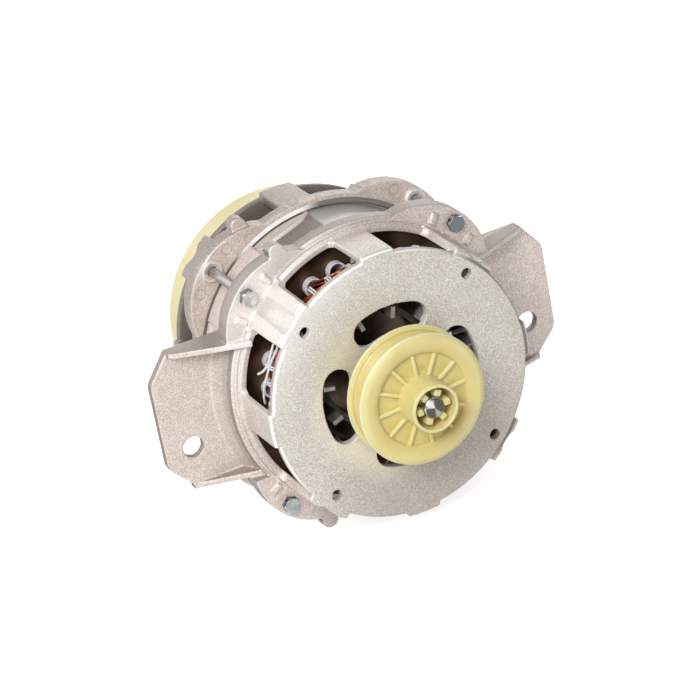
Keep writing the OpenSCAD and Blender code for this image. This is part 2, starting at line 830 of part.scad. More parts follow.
// Parts of a ball bearing whose front face lies at a depth
function race_arc(from, to, steps = 8) =
    [for (i = [0 : steps]) let (a = from + (to - from) * i / steps)
        [ball_pitch_r + race_r * cos(a), bearing_w / 2 + race_r * sin(a)]];
function at_depth(outline, depth) = [for (p = outline) [p[0], p[1] + depth]];
race_half_angle = acos((outer_ring_r - ball_pitch_r) / race_r);
module outer_ring(depth) {
    color("silver") on_axis() turned(at_depth(concat(
        [[outer_ring_r, 0]],
        race_arc(-race_half_angle, race_half_angle),
        [[outer_ring_r, bearing_w], [bearing_r - ring_edge, bearing_w], [bearing_r, bearing_w - ring_edge],
         [bearing_r, ring_edge], [bearing_r - ring_edge, 0]]
    ), depth));
}
module inner_ring(depth) {
    color("silver") on_axis() turned(at_depth(concat(
        [[inner_ring_r, 0], [bearing_in, 0], [bearing_in, bearing_w], [inner_ring_r, bearing_w]],
        race_arc(180 - race_half_angle, 180 + race_half_angle)
    ), depth));
}
module shields(depth) {
    shield_r = inner_ring_r + shield_gap;
    color("dimgray") on_axis() for (front = [depth + shield_in, depth + bearing_w - shield_in - shield_t]) {
        turned([[shield_r, front], [outer_ring_r, front], [outer_ring_r, front + shield_t],
                [shield_r, front + shield_t]]);
    }
}
module balls(depth) {
    color("white") on_axis() for (i = [0 : ball_count - 1]) {
        rotate([0, 0, i * 360 / ball_count]) translate([ball_pitch_r, 0, -depth - bearing_w / 2])
            sphere(ball_r, $fn = 32);
    }
}
module cage(depth) {
    color("goldenrod") on_axis() difference() {
        turned(at_depth([[ball_pitch_r - cage_half_t, cage_front], [ball_pitch_r + cage_half_t, cage_front],
                         [ball_pitch_r + cage_half_t, cage_back], [ball_pitch_r - cage_half_t, cage_back]], depth));
        for (i = [0 : ball_count - 1]) {
            rotate([0, 0, i * 360 / ball_count]) translate([ball_pitch_r, 0, -depth - bearing_w / 2])
                sphere(ball_r + ball_clear, $fn = 32);
        }
    }
}
module front_bearing_outer_ring() { outer_ring(bearing_at); }
module front_bearing_inner_ring() { inner_ring(bearing_at); }
module front_bearing_shields() { shields(bearing_at); }
module front_bearing_balls() { balls(bearing_at); }
module front_bearing_cage() { cage(bearing_at); }
module rear_bearing_outer_ring() { outer_ring(rear_bearing_at); }
module rear_bearing_inner_ring() { inner_ring(rear_bearing_at); }
module rear_bearing_shields() { shields(rear_bearing_at); }
module rear_bearing_balls() { balls(rear_bearing_at); }
module rear_bearing_cage() { cage(rear_bearing_at); }

// Spring washer behind the rear bearing
module wave_washer() {
    front = rear_bearing_at + bearing_w;
    color("dimgray") on_axis() turned([
        [outer_ring_r, front], [bearing_r - washer_gap, front],
        [bearing_r - washer_gap, front + washer_t], [outer_ring_r, front + washer_t]
    ]);
}

// Ring in a groove of the shaft, in front of the front bearing
module shaft_snap_ring() {
    color("dimgray") on_axis() turned([
        [snap_groove_r, bearing_at - snap_t], [snap_r, bearing_at - snap_t], [snap_r, bearing_at],
        [snap_groove_r, bearing_at]
    ]);
}

module pulley() {
    rim_back = pulley_front - pulley_length;
    groove_start = pulley_front - front_flange_w;
    hollow_r = belt_r - groove_depth - rim_wall;
    color("khaki") on_axis() {
        difference() {
            // rim, from the front flange over the belt grooves to the rear flange
            turned(concat(
                [[recess_r, -pulley_front + lip], [recess_r + lip, -pulley_front],
                 [pulley_r - face_bevel, -pulley_front - lip], [pulley_r - 2 * lip, -pulley_front],
                 [pulley_r, -pulley_front + 2 * lip], [pulley_r - lip, -pulley_front + 4 * lip],
                 [belt_r, -groove_start]],
                [for (i = [0 : groove_count - 1]) each [
                    [belt_r, -groove_start + i * groove_pitch + groove_land],
                    [belt_r - groove_depth, -groove_start + (i + 0.5) * groove_pitch],
                    [belt_r, -groove_start + (i + 1) * groove_pitch - groove_land]
                ]],
                [[belt_r, -rim_back - back_flange_w], [pulley_r - lip, -rim_back - 3 * lip],
                 [pulley_r, -rim_back - 2 * lip], [pulley_r - lip, -rim_back], [recess_r, -rim_back]]
            ));
            // hollow on the back of the rim
            turned([[recess_r + rim_wall, -rim_back - rim_hollow], [hollow_r, -rim_back - rim_hollow],
                    [hollow_r, -rim_back + over], [recess_r + rim_wall, -rim_back + over]]);
        }
        // web between hub and rim
        turned([[hub_bore_r, -web_front], [recess_r + over, -web_front], [recess_r + over, -web_front + web_t],
                [hub_bore_r, -web_front + web_t]]);
        // ribs on both faces of the web
        for (i = [0 : pulley_ribs - 1]) rotate([0, 0, pulley_rib_phase + i * 360 / pulley_ribs]) {
            radial_prism(hub_bore_r + over, recess_r + over, [
                [-pulley_rib_w / 2, -pulley_front + pulley_rib_drop], [pulley_rib_w / 2, -pulley_front + pulley_rib_drop],
                [pulley_rib_w / 2, -rim_back - pulley_rib_up], [-pulley_rib_w / 2, -rim_back - pulley_rib_up]
            ]);
        }
        // hub: an outer collar in front, a thick sleeve on the shaft behind
        turned([
            [hub_tip_r - hub_edge, -hub_face], [hub_tip_r, -hub_face + hub_edge], [hub_r, -rim_back],
            [hub_r, -pulley_stop - hub_edge], [hub_r - hub_edge, -pulley_stop], [shaft_r + snug, -pulley_stop],
            [shaft_r + snug, -prong_floor], [hub_bore_r, -prong_floor], [hub_bore_r, -hub_face]
        ]);
        // hooked prongs that snap into the shaft's groove
        for (i = [0 : prong_count - 1]) rotate([0, 0, prong_phase + i * 360 / prong_count]) {
            radial_prism(prong_in, prong_out, [
                [-prong_w / 2, -prong_tip], [prong_w / 2, -prong_tip],
                [prong_w / 2, -prong_floor + over], [-prong_w / 2, -prong_floor + over]
            ]);
            radial_prism(hook_groove_r + hook_clear, prong_in + over, [
                [-prong_w / 3, -hook_at + hook_clear], [prong_w / 3, -hook_at + hook_clear],
                [prong_w / 3, -hook_at + hook_w - hook_clear], [-prong_w / 3, -hook_at + hook_w - hook_clear]
            ]);
        }
    }
}

module fan() {
    bore_r = fan_seat_r + snug;
    blade_front = fan_front + fan_t / 2;
    color("khaki") on_axis() {
        // dished disc with air openings near the hub
        difference() {
            turned([
                [bore_r, fan_front], [fan_r - fan_corner, fan_front], [fan_r - fan_corner / 2, fan_front + fan_t / 2],
                [fan_r - fan_rim_lean, fan_front + fan_corner], [fan_r, fan_back], [fan_r - fan_t, fan_back],
                [fan_r - fan_rim_lean - fan_t, fan_front + fan_corner],
                [fan_r - fan_corner, fan_front + fan_t], [bore_r, fan_front + fan_t]
            ]);
            slab(fan_front - over, fan_front + fan_t + over) for (i = [0 : fan_vent_count - 1]) {
                rotate((i + 0.5) * 360 / fan_vent_count)
                    arc_slot((fan_root_r + fan_vent_r) / 2, fan_vent_w, fan_vent_half_angle);
            }
        }
        // long blades that reach the rim, and short ones between them
        for (i = [0 : 2 * fan_blades - 1]) rotate([0, 0, fan_blade_phase + i * 180 / fan_blades]) {
            radial_prism(fan_vent_r, i % 2 == 0 ? fan_r - fan_t : fan_r - fan_blade_gap, [
                [-fan_blade_t / 2, blade_front], [fan_blade_t / 2, blade_front],
                [fan_blade_t / 2, fan_back - fan_blade_edge], [-fan_blade_t / 2, fan_back - fan_blade_edge]
            ]);
        }
        // hub
        turned([
            [bore_r, fan_front - fan_hub_nose], [fan_hub_r - 2, fan_front - fan_hub_nose], [fan_hub_r, fan_front],
            [fan_hub_r, fan_hub_back], [bore_r, fan_hub_back]
        ]);
    }
}

// Push-on nut that keeps the fan on the shaft
module fan_nut() {
    color("dimgray") on_axis() difference() {
        translate([0, 0, -fan_hub_back - nut_h]) cylinder(h = nut_h, r = nut_corner_r, $fn = 6);
        translate([0, 0, -fan_hub_back - nut_h - over]) cylinder(h = nut_h + 2 * over, r = fan_seat_r + snug);
    }
}

front_bracket();
rear_bracket();
through_bolts();
stator_core();
slot_liners();
slot_wedges();
run_winding();
start_winding();
front_lacing();
rear_lacing();
shaft();
rotor_core();
rotor_cage();
shaft_snap_ring();
front_bearing_outer_ring();
front_bearing_inner_ring();
front_bearing_shields();
front_bearing_balls();
front_bearing_cage();
rear_bearing_outer_ring();
rear_bearing_inner_ring();
rear_bearing_shields();
rear_bearing_balls();
rear_bearing_cage();
wave_washer();
pulley();
fan();
fan_nut();
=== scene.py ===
"""Looks of the washing machine motor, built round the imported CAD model. All lengths are in metres."""

import math

import bpy
import numpy as np
from mathutils import Matrix, Vector
from mathutils.kdtree import KDTree

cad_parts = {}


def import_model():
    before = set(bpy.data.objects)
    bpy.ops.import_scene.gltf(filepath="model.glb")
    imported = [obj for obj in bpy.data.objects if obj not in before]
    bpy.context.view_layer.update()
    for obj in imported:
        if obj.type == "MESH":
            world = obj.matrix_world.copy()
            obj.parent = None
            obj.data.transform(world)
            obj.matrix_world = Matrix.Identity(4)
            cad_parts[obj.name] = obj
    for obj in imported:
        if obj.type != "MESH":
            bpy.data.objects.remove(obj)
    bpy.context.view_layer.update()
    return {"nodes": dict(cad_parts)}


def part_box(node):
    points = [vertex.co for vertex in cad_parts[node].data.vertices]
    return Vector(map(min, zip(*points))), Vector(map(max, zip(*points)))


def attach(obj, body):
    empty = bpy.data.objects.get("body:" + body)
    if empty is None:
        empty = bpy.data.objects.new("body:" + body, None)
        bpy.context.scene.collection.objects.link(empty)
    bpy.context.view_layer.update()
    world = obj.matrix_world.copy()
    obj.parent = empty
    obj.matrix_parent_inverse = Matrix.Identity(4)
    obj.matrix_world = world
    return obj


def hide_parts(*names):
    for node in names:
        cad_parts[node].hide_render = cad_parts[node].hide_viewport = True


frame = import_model()
NODES = frame["nodes"]

# Sizes that part.scad has too, and depths that grow away from the pulley
STACK_FRONT = 0.038
STACK_BACK = 0.0826
MOTOR_LENGTH = 0.1206
BORE_R = 0.041
BUNDLE_R = 0.003
SLOT_PITCH = 15.0
RUN_LEG_R = BORE_R + 0.0139
START_LEG_R = BORE_R + 0.0056
RUN_BULGE = 0.0056
FIRST_ANGLE = 91.5
START_BULGE = 0.0006
WIDE_OVERHANG = 0.024
NARROW_OVERHANG = 0.0165
COIL_CLEAR = 0.002
SQUARENESS = 2.6
LUG_BACK = 0.0437
SKIRT_END = 0.0762
BOLT_AT = 0.0819
MARK_AT = 0.0816
MARK_TURN = math.radians(9.3)
WEB_FRONT = -0.0212
GROOVE_PITCH = 0.0021
SHEET_T = 0.00065
FLOOR_Z = -0.0793


# ---------------------------------------------------------------- node helpers

class Graph:
    """A short way to wire a material's nodes."""

    def __init__(self, tree):
        self.tree = tree

    def node(self, kind, inputs=None, **settings):
        made = self.tree.nodes.new(kind)
        for key, value in settings.items():
            setattr(made, key, value)
        for key, value in (inputs or {}).items():
            socket = made.inputs[key]
            if isinstance(value, bpy.types.NodeSocket):
                self.tree.links.new(value, socket)
            else:
                socket.default_value = value
        return made

    def noise(self, where, scale, detail=3.0, rough=0.55, stretch=None):
        if stretch:
            where = self.node("ShaderNodeMapping", {"Vector": where, "Scale": stretch}).outputs[0]
        return self.node("ShaderNodeTexNoise", {"Vector": where, "Scale": scale, "Detail": detail,
                                                "Roughness": rough}).outputs[0]

    def grain(self, where, cell):
        """A random value for each small cube of space."""
        snapped = self.node("ShaderNodeVectorMath", {0: where, 1: (cell, cell, cell)}, operation="SNAP")
        return self.node("ShaderNodeTexWhiteNoise", {"Vector": snapped.outputs[0]},
                         noise_dimensions="3D").outputs[0]

    def math(self, how, a, b=0.0, c=0.0, clamp=False):
        made = self.node("ShaderNodeMath", operation=how, use_clamp=clamp)
        for k, value in enumerate((a, b, c)):
            if isinstance(value, bpy.types.NodeSocket):
                self.tree.links.new(value, made.inputs[k])
            elif k < len(made.inputs):
                made.inputs[k].default_value = value
        return made.outputs[0]

    def times(self, first, *others):
        for other in others:
            first = self.math("MULTIPLY", first, other)
        return first

    def fit(self, value, low, high, to_low=0.0, to_high=1.0, smooth=True):
        """Maps a range onto another one, clamped at both ends."""
        made = self.node("ShaderNodeMapRange", interpolation_type="SMOOTHSTEP" if smooth else "LINEAR")
        for key, given in (("Value", value), ("From Min", low), ("From Max", high),
                           ("To Min", to_low), ("To Max", to_high)):
            if isinstance(given, bpy.types.NodeSocket):
                self.tree.links.new(given, made.inputs[key])
            else:
                made.inputs[key].default_value = given
        return made.outputs[0]

    def mix(self, share, a, b):
        made = self.node("ShaderNodeMix", data_type="RGBA")
        for key, value in ((0, share), (6, a), (7, b)):
            if isinstance(value, bpy.types.NodeSocket):
                self.tree.links.new(value, made.inputs[key])
            else:
                made.inputs[key].default_value = value
        return made.outputs[2]

    def bump(self, height, strength, distance, normal=None):
        inputs = {"Height": height, "Strength": strength, "Distance": distance}
        if normal is not None:
            inputs["Normal"] = normal
        return self.node("ShaderNodeBump", inputs).outputs[0]


def srgb(r, g, b):
    """A colour given as the 0-255 values that a picture shows."""
    def lin(v):
        v /= 255.0
        return v / 12.92 if v <= 0.04045 else ((v + 0.055) / 1.055) ** 2.4
    return (lin(r), lin(g), lin(b), 1.0)


def shader(name, settings):
    """A new material with a Principled shader, its graph and the object's coordinates."""
    made = bpy.data.materials.new(name)
    made.use_nodes = True
    tree = made.node_tree
    principled = tree.nodes["Principled BSDF"]
    for key, value in settings.items():
        principled.inputs[key].default_value = value
    g = Graph(tree)
    where = g.node("ShaderNodeTexCoord").outputs["Object"]
    return made, g, principled, where


def wire(g, source, target):
    g.tree.links.new(source, target)


def paint(g, tone, share, colour, strength=1.0):
    """A tone with a colour laid over it."""
    return g.mix(share if strength == 1.0 else g.math("MULTIPLY", share, strength), tone, colour)


def edges(g):
    """The attribute that marks outer edges with values over 0 and hollows with values under 0."""
    return g.node("ShaderNodeAttribute", attribute_name="edge").outputs["Fac"]


def parts_of(g, where):
    made = g.node("ShaderNodeSeparateXYZ", {"Vector": where})
    return made.outputs[0], made.outputs[1], made.outputs[2]


def radius_of(g, where):
    """Distance from the motor's axis."""
    x, _, z = parts_of(g, where)
    return g.math("SQRT", g.math("ADD", g.math("MULTIPLY", x, x), g.math("MULTIPLY", z, z)))


# ---------------------------------------------------------------- materials

def lug_circle(g, where, at_r, at_turn):
    """Distance from a point that repeats on the lugs at 45 + 90 k degrees, mirrored about each lug."""
    x, _, z = parts_of(g, where)
    turn = g.math("ARCTAN2", z, x)
    fold = g.math("ABSOLUTE", g.math("SUBTRACT", g.math("FLOORED_MODULO", turn, math.pi / 2), math.pi / 4))
    radius = radius_of(g, where)
    a = g.math("SUBTRACT", g.math("MULTIPLY", radius, g.math("COSINE", fold)), at_r * math.cos(at_turn))
    b = g.math("SUBTRACT", g.math("MULTIPLY", radius, g.math("SINE", fold)), at_r * math.sin(at_turn))
    return g.math("SQRT", g.math("ADD", g.math("MULTIPLY", a, a), g.math("MULTIPLY", b, b)))


def band(g, value, middle, half):
    """1 at a value and 0 further than half from it."""
    return g.fit(g.math("ABSOLUTE", g.math("SUBTRACT", value, middle)), half, half * 0.4)


def cast_grain(g, where, grain, cloud, rim):
    """Grey clouds with dark, pale and greenish specks, which are fewer on the edges that carry painted
    highlights.
    """
    _, depth, _ = parts_of(g, where)
    calm = g.math("SUBTRACT", 1.0, g.math("MULTIPLY", rim, 0.85))
    tone = g.mix(g.fit(depth, 0.003, 0.02), srgb(212, 206, 196), srgb(222, 206, 197))
    tone = paint(g, tone, g.fit(cloud, 0.62, 0.32), srgb(160, 142, 130), 0.16)
    tone = paint(g, tone, g.times(calm, g.fit(grain, 0.0, 0.6, 0.36, 0.0, False)), srgb(132, 118, 110))
    tone = paint(g, tone, g.times(calm, g.fit(grain, 0.55, 1.0, 0.0, 0.6, False)), srgb(255, 254, 250))
    second = g.grain(where, 0.00062)
    return paint(g, tone, g.fit(second, 0.7, 1.0, 0.0, 0.16, False), srgb(192, 198, 182))


def front_casting_painted_light(g, tone, where, painted_shading):
    """Painted light on the front casting: a painted highlight towards the upper left corner, painted shade
    low and to the right, and a painted yellowish reflection of the pulley beside it.
    """
    x, depth, z = parts_of(g, where)
    ahead = g.fit(depth, 0.044, 0.038)
    # painted highlight towards the upper left corner, on the front part where no shade is painted
    corner = g.times(g.fit(g.math("SUBTRACT", z, x), 0.06, 0.105), g.fit(x, -0.082, -0.074))
    unshaded = g.math("SUBTRACT", 1.0, painted_shading)
    tone = paint(g, tone, g.times(unshaded, ahead, corner), srgb(255, 252, 248), 0.45)
    # painted shade low and to the right
    low = g.times(g.fit(z, 0.005, -0.05), g.fit(x, -0.06, -0.02), 0.34)
    low = g.math("MAXIMUM", low, g.fit(x, 0.03, 0.1, 0.0, 0.16))
    tone = paint(g, tone, g.times(ahead, low), srgb(116, 98, 88))
    # painted yellowish reflection of the pulley on the plate beside it
    pulley_reflection = g.times(g.fit(radius_of(g, where), 0.056, 0.038), g.fit(x, 0.012, -0.02),
                   g.fit(depth, 0.0012, 0.0006))
    return paint(g, tone, pulley_reflection, srgb(255, 243, 212), 0.4)


def rear_lug_tone(g, tone, where):
    """The rings left by ejector pins and the seats round the bolts."""
    _, depth, _ = parts_of(g, where)
    face = band(g, depth, 0.0765, 0.0026)
    pin = g.times(face, band(g, lug_circle(g, where, MARK_AT, MARK_TURN), 0.0027, 0.0005))
    seat = g.times(face, band(g, lug_circle(g, where, BOLT_AT, 0.0), 0.0049, 0.0009))
    tone = paint(g, tone, pin, srgb(130, 116, 108), 0.3)
    return paint(g, tone, seat, srgb(252, 250, 246), 0.4)


def plate_edge_painted_light(g, tone, where, turn):
    """A painted highlight line on the upper left edge of the front plate, with a grey wall behind it at the
    windows, and a painted shadow along the edge on the right."""
    _, depth, _ = parts_of(g, where)
    radius = radius_of(g, where)
    fold = g.math("ABSOLUTE", g.math("SUBTRACT", g.math("FLOORED_MODULO", turn, math.pi / 2), math.pi / 4))
    window = g.times(g.fit(fold, 0.165, 0.175), g.fit(fold, 0.665, 0.655))
    wall = g.times(window, g.fit(depth, 0.0013, 0.0017), g.fit(radius, 0.0690, 0.0694),
                   g.fit(depth, 0.0050, 0.0046))
    tone = paint(g, tone, wall, srgb(190, 175, 166), 0.8)
    # painted highlight line along the plate's edge
    line = g.mix(window, band(g, radius, 0.0714, 0.0007), band(g, radius, 0.0694, 0.0006))
    upper_left = g.fit(g.math("COSINE", g.math("SUBTRACT", turn, math.radians(135))), 0.1, 0.5)
    tone = paint(g, tone, g.times(line, g.fit(depth, 0.0013, 0.0006), upper_left), srgb(255, 254, 252))
    # painted shadow along the plate's right edge, where it meets the ear behind
    right = g.times(g.fit(radius, 0.0691, 0.0695), g.fit(radius, 0.0712, 0.0708),
                    g.fit(depth, 0.0036, 0.0030), g.fit(g.math("COSINE", turn), 0.5, 0.75))
    return paint(g, tone, right, srgb(84, 74, 70), 0.75)


def cast_aluminium():
    """Die cast aluminium: light grey with a blasted grain, with painted highlights on its edges and painted
    shade in its corners.

    The attribute "shade" is above 0 where shade is painted and below 0 where a highlight is painted."""
    made, g, out, where = shader("cast_aluminium", {"Metallic": 0.35, "Roughness": 0.5})
    x, depth, z = parts_of(g, where)
    radius = radius_of(g, where)
    turn = g.math("ARCTAN2", z, x)
    grain = g.grain(where, 0.00036)
    cloud = g.noise(where, 60, 4)
    rim = g.fit(edges(g), 0.24, 0.5)
    shade = g.node("ShaderNodeAttribute", attribute_name="shade").outputs["Fac"]
    painted_shading = g.fit(shade, 0.0, 1.0, 0.0, 1.0, False)
    tone = cast_grain(g, where, grain, cloud, rim)
    # painted shade where the attribute "shade" is above 0
    tone = paint(g, tone, painted_shading, srgb(104, 91, 84), 0.82)
    # painted highlight where the attribute "shade" is below 0
    tone = paint(g, tone, g.fit(shade, 0.0, -1.0), srgb(255, 250, 246), 0.8)
    # painted shade in the corners and hollows
    tone = paint(g, tone, g.fit(edges(g), -0.08, -0.5), srgb(84, 72, 66), 0.6)
    # painted highlights along the outer edges
    tone = paint(g, tone, rim, srgb(255, 253, 248), 0.85)
    tone = front_casting_painted_light(g, tone, where, painted_shading)
    tone = rear_lug_tone(g, tone, where)
    # painted shade on the castings' inner surfaces, deep inside the motor
    inside = g.times(g.fit(radius, 0.0672, 0.0655), g.fit(depth, 0.0042, 0.0062),
                     g.fit(depth, 0.1164, 0.1144))
    tone = paint(g, tone, inside, srgb(56, 46, 40), 0.7)
    # the rear casting's machined mouth, grey with a painted highlight at the top only
    machined = g.times(g.fit(radius, 0.0747, 0.0744), g.fit(depth, 0.0762, 0.0766),
                       g.fit(depth, 0.0806, 0.0802))
    top_highlight = g.fit(g.math("COSINE", g.math("SUBTRACT", turn, math.radians(107))), 0.925, 0.975)
    tone = g.mix(machined, tone, g.mix(top_highlight, srgb(142, 136, 133), srgb(255, 255, 255)))
    tone = plate_edge_painted_light(g, tone, where, turn)
    wire(g, tone, out.inputs["Base Color"])
    wire(g, g.mix(machined, g.fit(grain, 0.0, 1.0, 0.58, 0.46), (0.4, 0.4, 0.4, 1.0)),
         out.inputs["Roughness"])
    wire(g, g.fit(g.times(machined, top_highlight), 0.0, 1.0, 0.35, 0.0), out.inputs["Metallic"])
    wire(g, g.bump(grain, g.fit(rim, 0.0, 1.0, 0.3, 0.05), 0.00008, g.bump(cloud, 0.12, 0.0006)),
         out.inputs["Normal"])
    return made


def zinc_steel():
    """Zinc plated bolts: bright, with painted dark reflections on the heads' sides and painted darker
    reflections on the faces of the bolts to the right and below.
    """
    made, g, out, where = shader("zinc_steel", {"Metallic": 1.0, "Roughness": 0.18})
    x, depth, z = parts_of(g, where)
    streak = g.noise(where, 260, 3, 0.6, (1, 0.15, 1))
    top = g.fit(depth, 0.03, 0.0298)
    side = g.times(g.fit(lug_circle(g, where, BOLT_AT, 0.0), 0.0034, 0.0037), g.fit(depth, 0.0303, 0.0306),
                   g.fit(depth, 0.0342, 0.0338))
    # painted darker reflection on the faces of the bolts to the right and below
    far = g.math("MAXIMUM", g.fit(x, -0.03, 0.03), g.math("MULTIPLY", g.fit(z, 0.03, -0.03), 0.55))
    tone = g.mix(g.fit(streak, 0.3, 0.75), srgb(186, 192, 197), srgb(232, 233, 233))
    # painted dark reflections on the heads' sides
    dark = g.mix(g.fit(g.noise(where, 420, 1), 0.42, 0.55), srgb(40, 46, 60), srgb(150, 156, 162))
    tone = g.mix(side, tone, dark)
    near_face = g.mix(g.fit(streak, 0.35, 0.65), srgb(170, 172, 175), srgb(206, 207, 208))
    tone = g.mix(top, tone, g.mix(far, near_face, srgb(102, 110, 114)))
    wire(g, tone, out.inputs["Base Color"])
    wire(g, g.fit(streak, 0.3, 0.7, 0.13, 0.24), out.inputs["Roughness"])
    return made


def lamination_steel():
    """Edges of thin sheets on the outside, dark bronze lacquer on the ends and in the bore."""
    made, g, out, where = shader("lamination_steel", {"Metallic": 0.5, "Roughness": 0.42})
    _, depth, _ = parts_of(g, where)
    radius = radius_of(g, where)
    sheet = g.math("FRACT", g.math("MULTIPLY", depth, 1 / SHEET_T))
    seam = g.fit(g.math("ABSOLUTE", g.math("SUBTRACT", sheet, 0.5)), 0.36, 0.5)
    layer = g.noise(where, 1.0, 3, 0.7, (14, 1700, 14))
    rough_patch = g.noise(where, 130, 4)
    side = g.mix(g.fit(layer, 0.32, 0.7), srgb(200, 200, 195), srgb(229, 229, 224))
    side = paint(g, side, seam, srgb(120, 118, 112), 0.3)
    side = paint(g, side, g.fit(rough_patch, 0.6, 0.85), srgb(180, 172, 160))
    varnish_and_shade = g.mix(g.fit(g.noise(where, 90, 3), 0.3, 0.7), srgb(58, 42, 32), srgb(98, 76, 60))
    normal = g.node("ShaderNodeTexCoord").outputs["Normal"]
    _, facing, _ = parts_of(g, normal)
    outside = g.times(g.fit(radius, 0.0694, 0.0697), g.fit(g.math("ABSOLUTE", facing), 0.7, 0.4))
    wire(g, g.mix(outside, varnish_and_shade, side), out.inputs["Base Color"])
    wire(g, g.fit(outside, 0, 1, 0.26, 0.46), out.inputs["Roughness"])
    height = g.times(seam, outside, -1.0)
    wire(g, g.bump(height, 0.35, 0.0002, g.bump(rough_patch, 0.12, 0.0004)), out.inputs["Normal"])
    return made


def film(name, light, dark, rough):
    """Insulating film, slightly see-through."""
    made, g, out, where = shader(name, {"Roughness": rough, "Subsurface Weight": 0.15,
                                        "Subsurface Radius": (0.0012, 0.001, 0.001), "Subsurface Scale": 1.0})
    tone = g.mix(g.fit(g.noise(where, 420, 3), 0.3, 0.7), dark, light)
    wire(g, tone, out.inputs["Base Color"])
    wire(g, g.bump(g.noise(where, 700, 2), 0.25, 0.0002), out.inputs["Normal"])
    return made


def enamelled_copper():
    """Enamelled wire: dark red brown with a gloss coat."""
    made, g, out, where = shader("enamelled_copper", {"Metallic": 0.75, "Roughness": 0.3, "Coat Weight": 0.6,
                                                      "Coat Roughness": 0.12})
    tone = g.mix(g.fit(g.noise(where, 260, 3), 0.3, 0.72), srgb(132, 46, 20), srgb(226, 112, 66))
    # painted shade: the core between the wires is dark, and each wire is darkened by a share of its own
    dark = g.mix(g.fit(edges(g), 0.0, 1.0), srgb(34, 14, 9), tone)
    wire(g, dark, out.inputs["Base Color"])
    wire(g, g.bump(g.noise(where, 900, 2), 0.1, 0.0001), out.inputs["Normal"])
    return made


def cord_white():
    """Lacing cord, with fibres along it."""
    made, g, out, where = shader("lacing_cord", {"Roughness": 0.8, "Sheen Weight": 0.25,
                                                 "Sheen Roughness": 0.4})
    fibre = g.noise(where, 2600, 2, 0.6, (1, 0.4, 1))
    tone = g.mix(g.fit(fibre, 0.3, 0.7), srgb(205, 203, 205), srgb(248, 247, 250))
    wire(g, tone, out.inputs["Base Color"])
    wire(g, g.bump(fibre, 0.5, 0.0002), out.inputs["Normal"])
    return made


def turned_steel():
    """Ground steel, whose face at the tip has the round marks of a lathe tool and two painted highlights, at
    the upper left and lower right.
    """
    made, g, out, where = shader("turned_steel", {"Metallic": 1.0, "Roughness": 0.22, "Anisotropic": 0.4})
    x, depth, z = parts_of(g, where)
    radius = radius_of(g, where)
    rings = g.noise(g.node("ShaderNodeCombineXYZ", {"X": radius, "Y": 0.0, "Z": 0.0}).outputs[0], 5200, 2)
    length = g.noise(g.node("ShaderNodeCombineXYZ", {"X": depth, "Y": 0.0, "Z": 0.0}).outputs[0], 3600, 3)
    tip = g.fit(depth, -0.0355, -0.03595)
    lines = g.math("ADD", g.times(tip, rings), g.times(g.math("SUBTRACT", 1.0, tip), length))
    bright = g.mix(g.fit(lines, 0.3, 0.7), srgb(176, 174, 172), srgb(226, 225, 223))
    turn = g.math("ARCTAN2", z, x)
    # painted highlights on the tip's face, at the upper left and lower right
    upper = g.fit(g.math("COSINE", g.math("SUBTRACT", turn, math.radians(128))), 0.7, 1.0, 0.0, 0.8)
    lower = g.fit(g.math("COSINE", g.math("SUBTRACT", turn, math.radians(290))), 0.84, 0.99, 0.0, 0.35)
    face = g.mix(g.math("MAXIMUM", upper, lower), srgb(88, 80, 78), srgb(232, 228, 226))
    face = paint(g, face, g.fit(rings, 0.45, 0.7), srgb(52, 46, 42), 0.35)
    wire(g, g.mix(tip, bright, face), out.inputs["Base Color"])
    wire(g, g.bump(lines, 0.12, 0.00006), out.inputs["Normal"])
    tangent = g.node("ShaderNodeTangent", direction_type="RADIAL", axis="Y").outputs[0]
    wire(g, tangent, out.inputs["Tangent"])
    return made


def cage_aluminium():
    """Cast rotor cage: pale tips on its fins, with painted shade in a dark brown on its end rings and towards
    its lower fins.
    """
    made, g, out, where = shader("cage_aluminium", {"Metallic": 0.7, "Roughness": 0.4})
    _, depth, height = parts_of(g, where)
    fine = g.noise(where, 900, 3)
    unshaded = g.mix(g.fit(fine, 0.3, 0.75), srgb(206, 203, 198), srgb(244, 242, 238))
    # painted shade in a dark brown for the dim inside of the motor
    varnish_and_shade = g.mix(g.fit(fine, 0.3, 0.75), srgb(70, 62, 54), srgb(104, 94, 84))
    away = g.math("ABSOLUTE", g.math("SUBTRACT", depth, MOTOR_LENGTH / 2))
    # pale tips of the fins, with painted shade towards the bottom
    clear = g.times(g.fit(away, 0.0415, 0.0455), g.fit(height, -0.016, 0.002, 0.25, 1.0))
    wire(g, g.mix(clear, varnish_and_shade, unshaded), out.inputs["Base Color"])
    wire(g, g.bump(fine, 0.3, 0.0002), out.inputs["Normal"])
    return made


def plain_metal(name, dark, light, rough):
    """A metal with a fine uneven finish."""
    made, g, out, where = shader(name, {"Metallic": 1.0, "Roughness": rough})
    fine = g.noise(where, 800, 3)
    wire(g, g.mix(g.fit(fine, 0.3, 0.75), dark, light), out.inputs["Base Color"])
    wire(g, g.bump(fine, 0.15, 0.0001), out.inputs["Normal"])
    return made


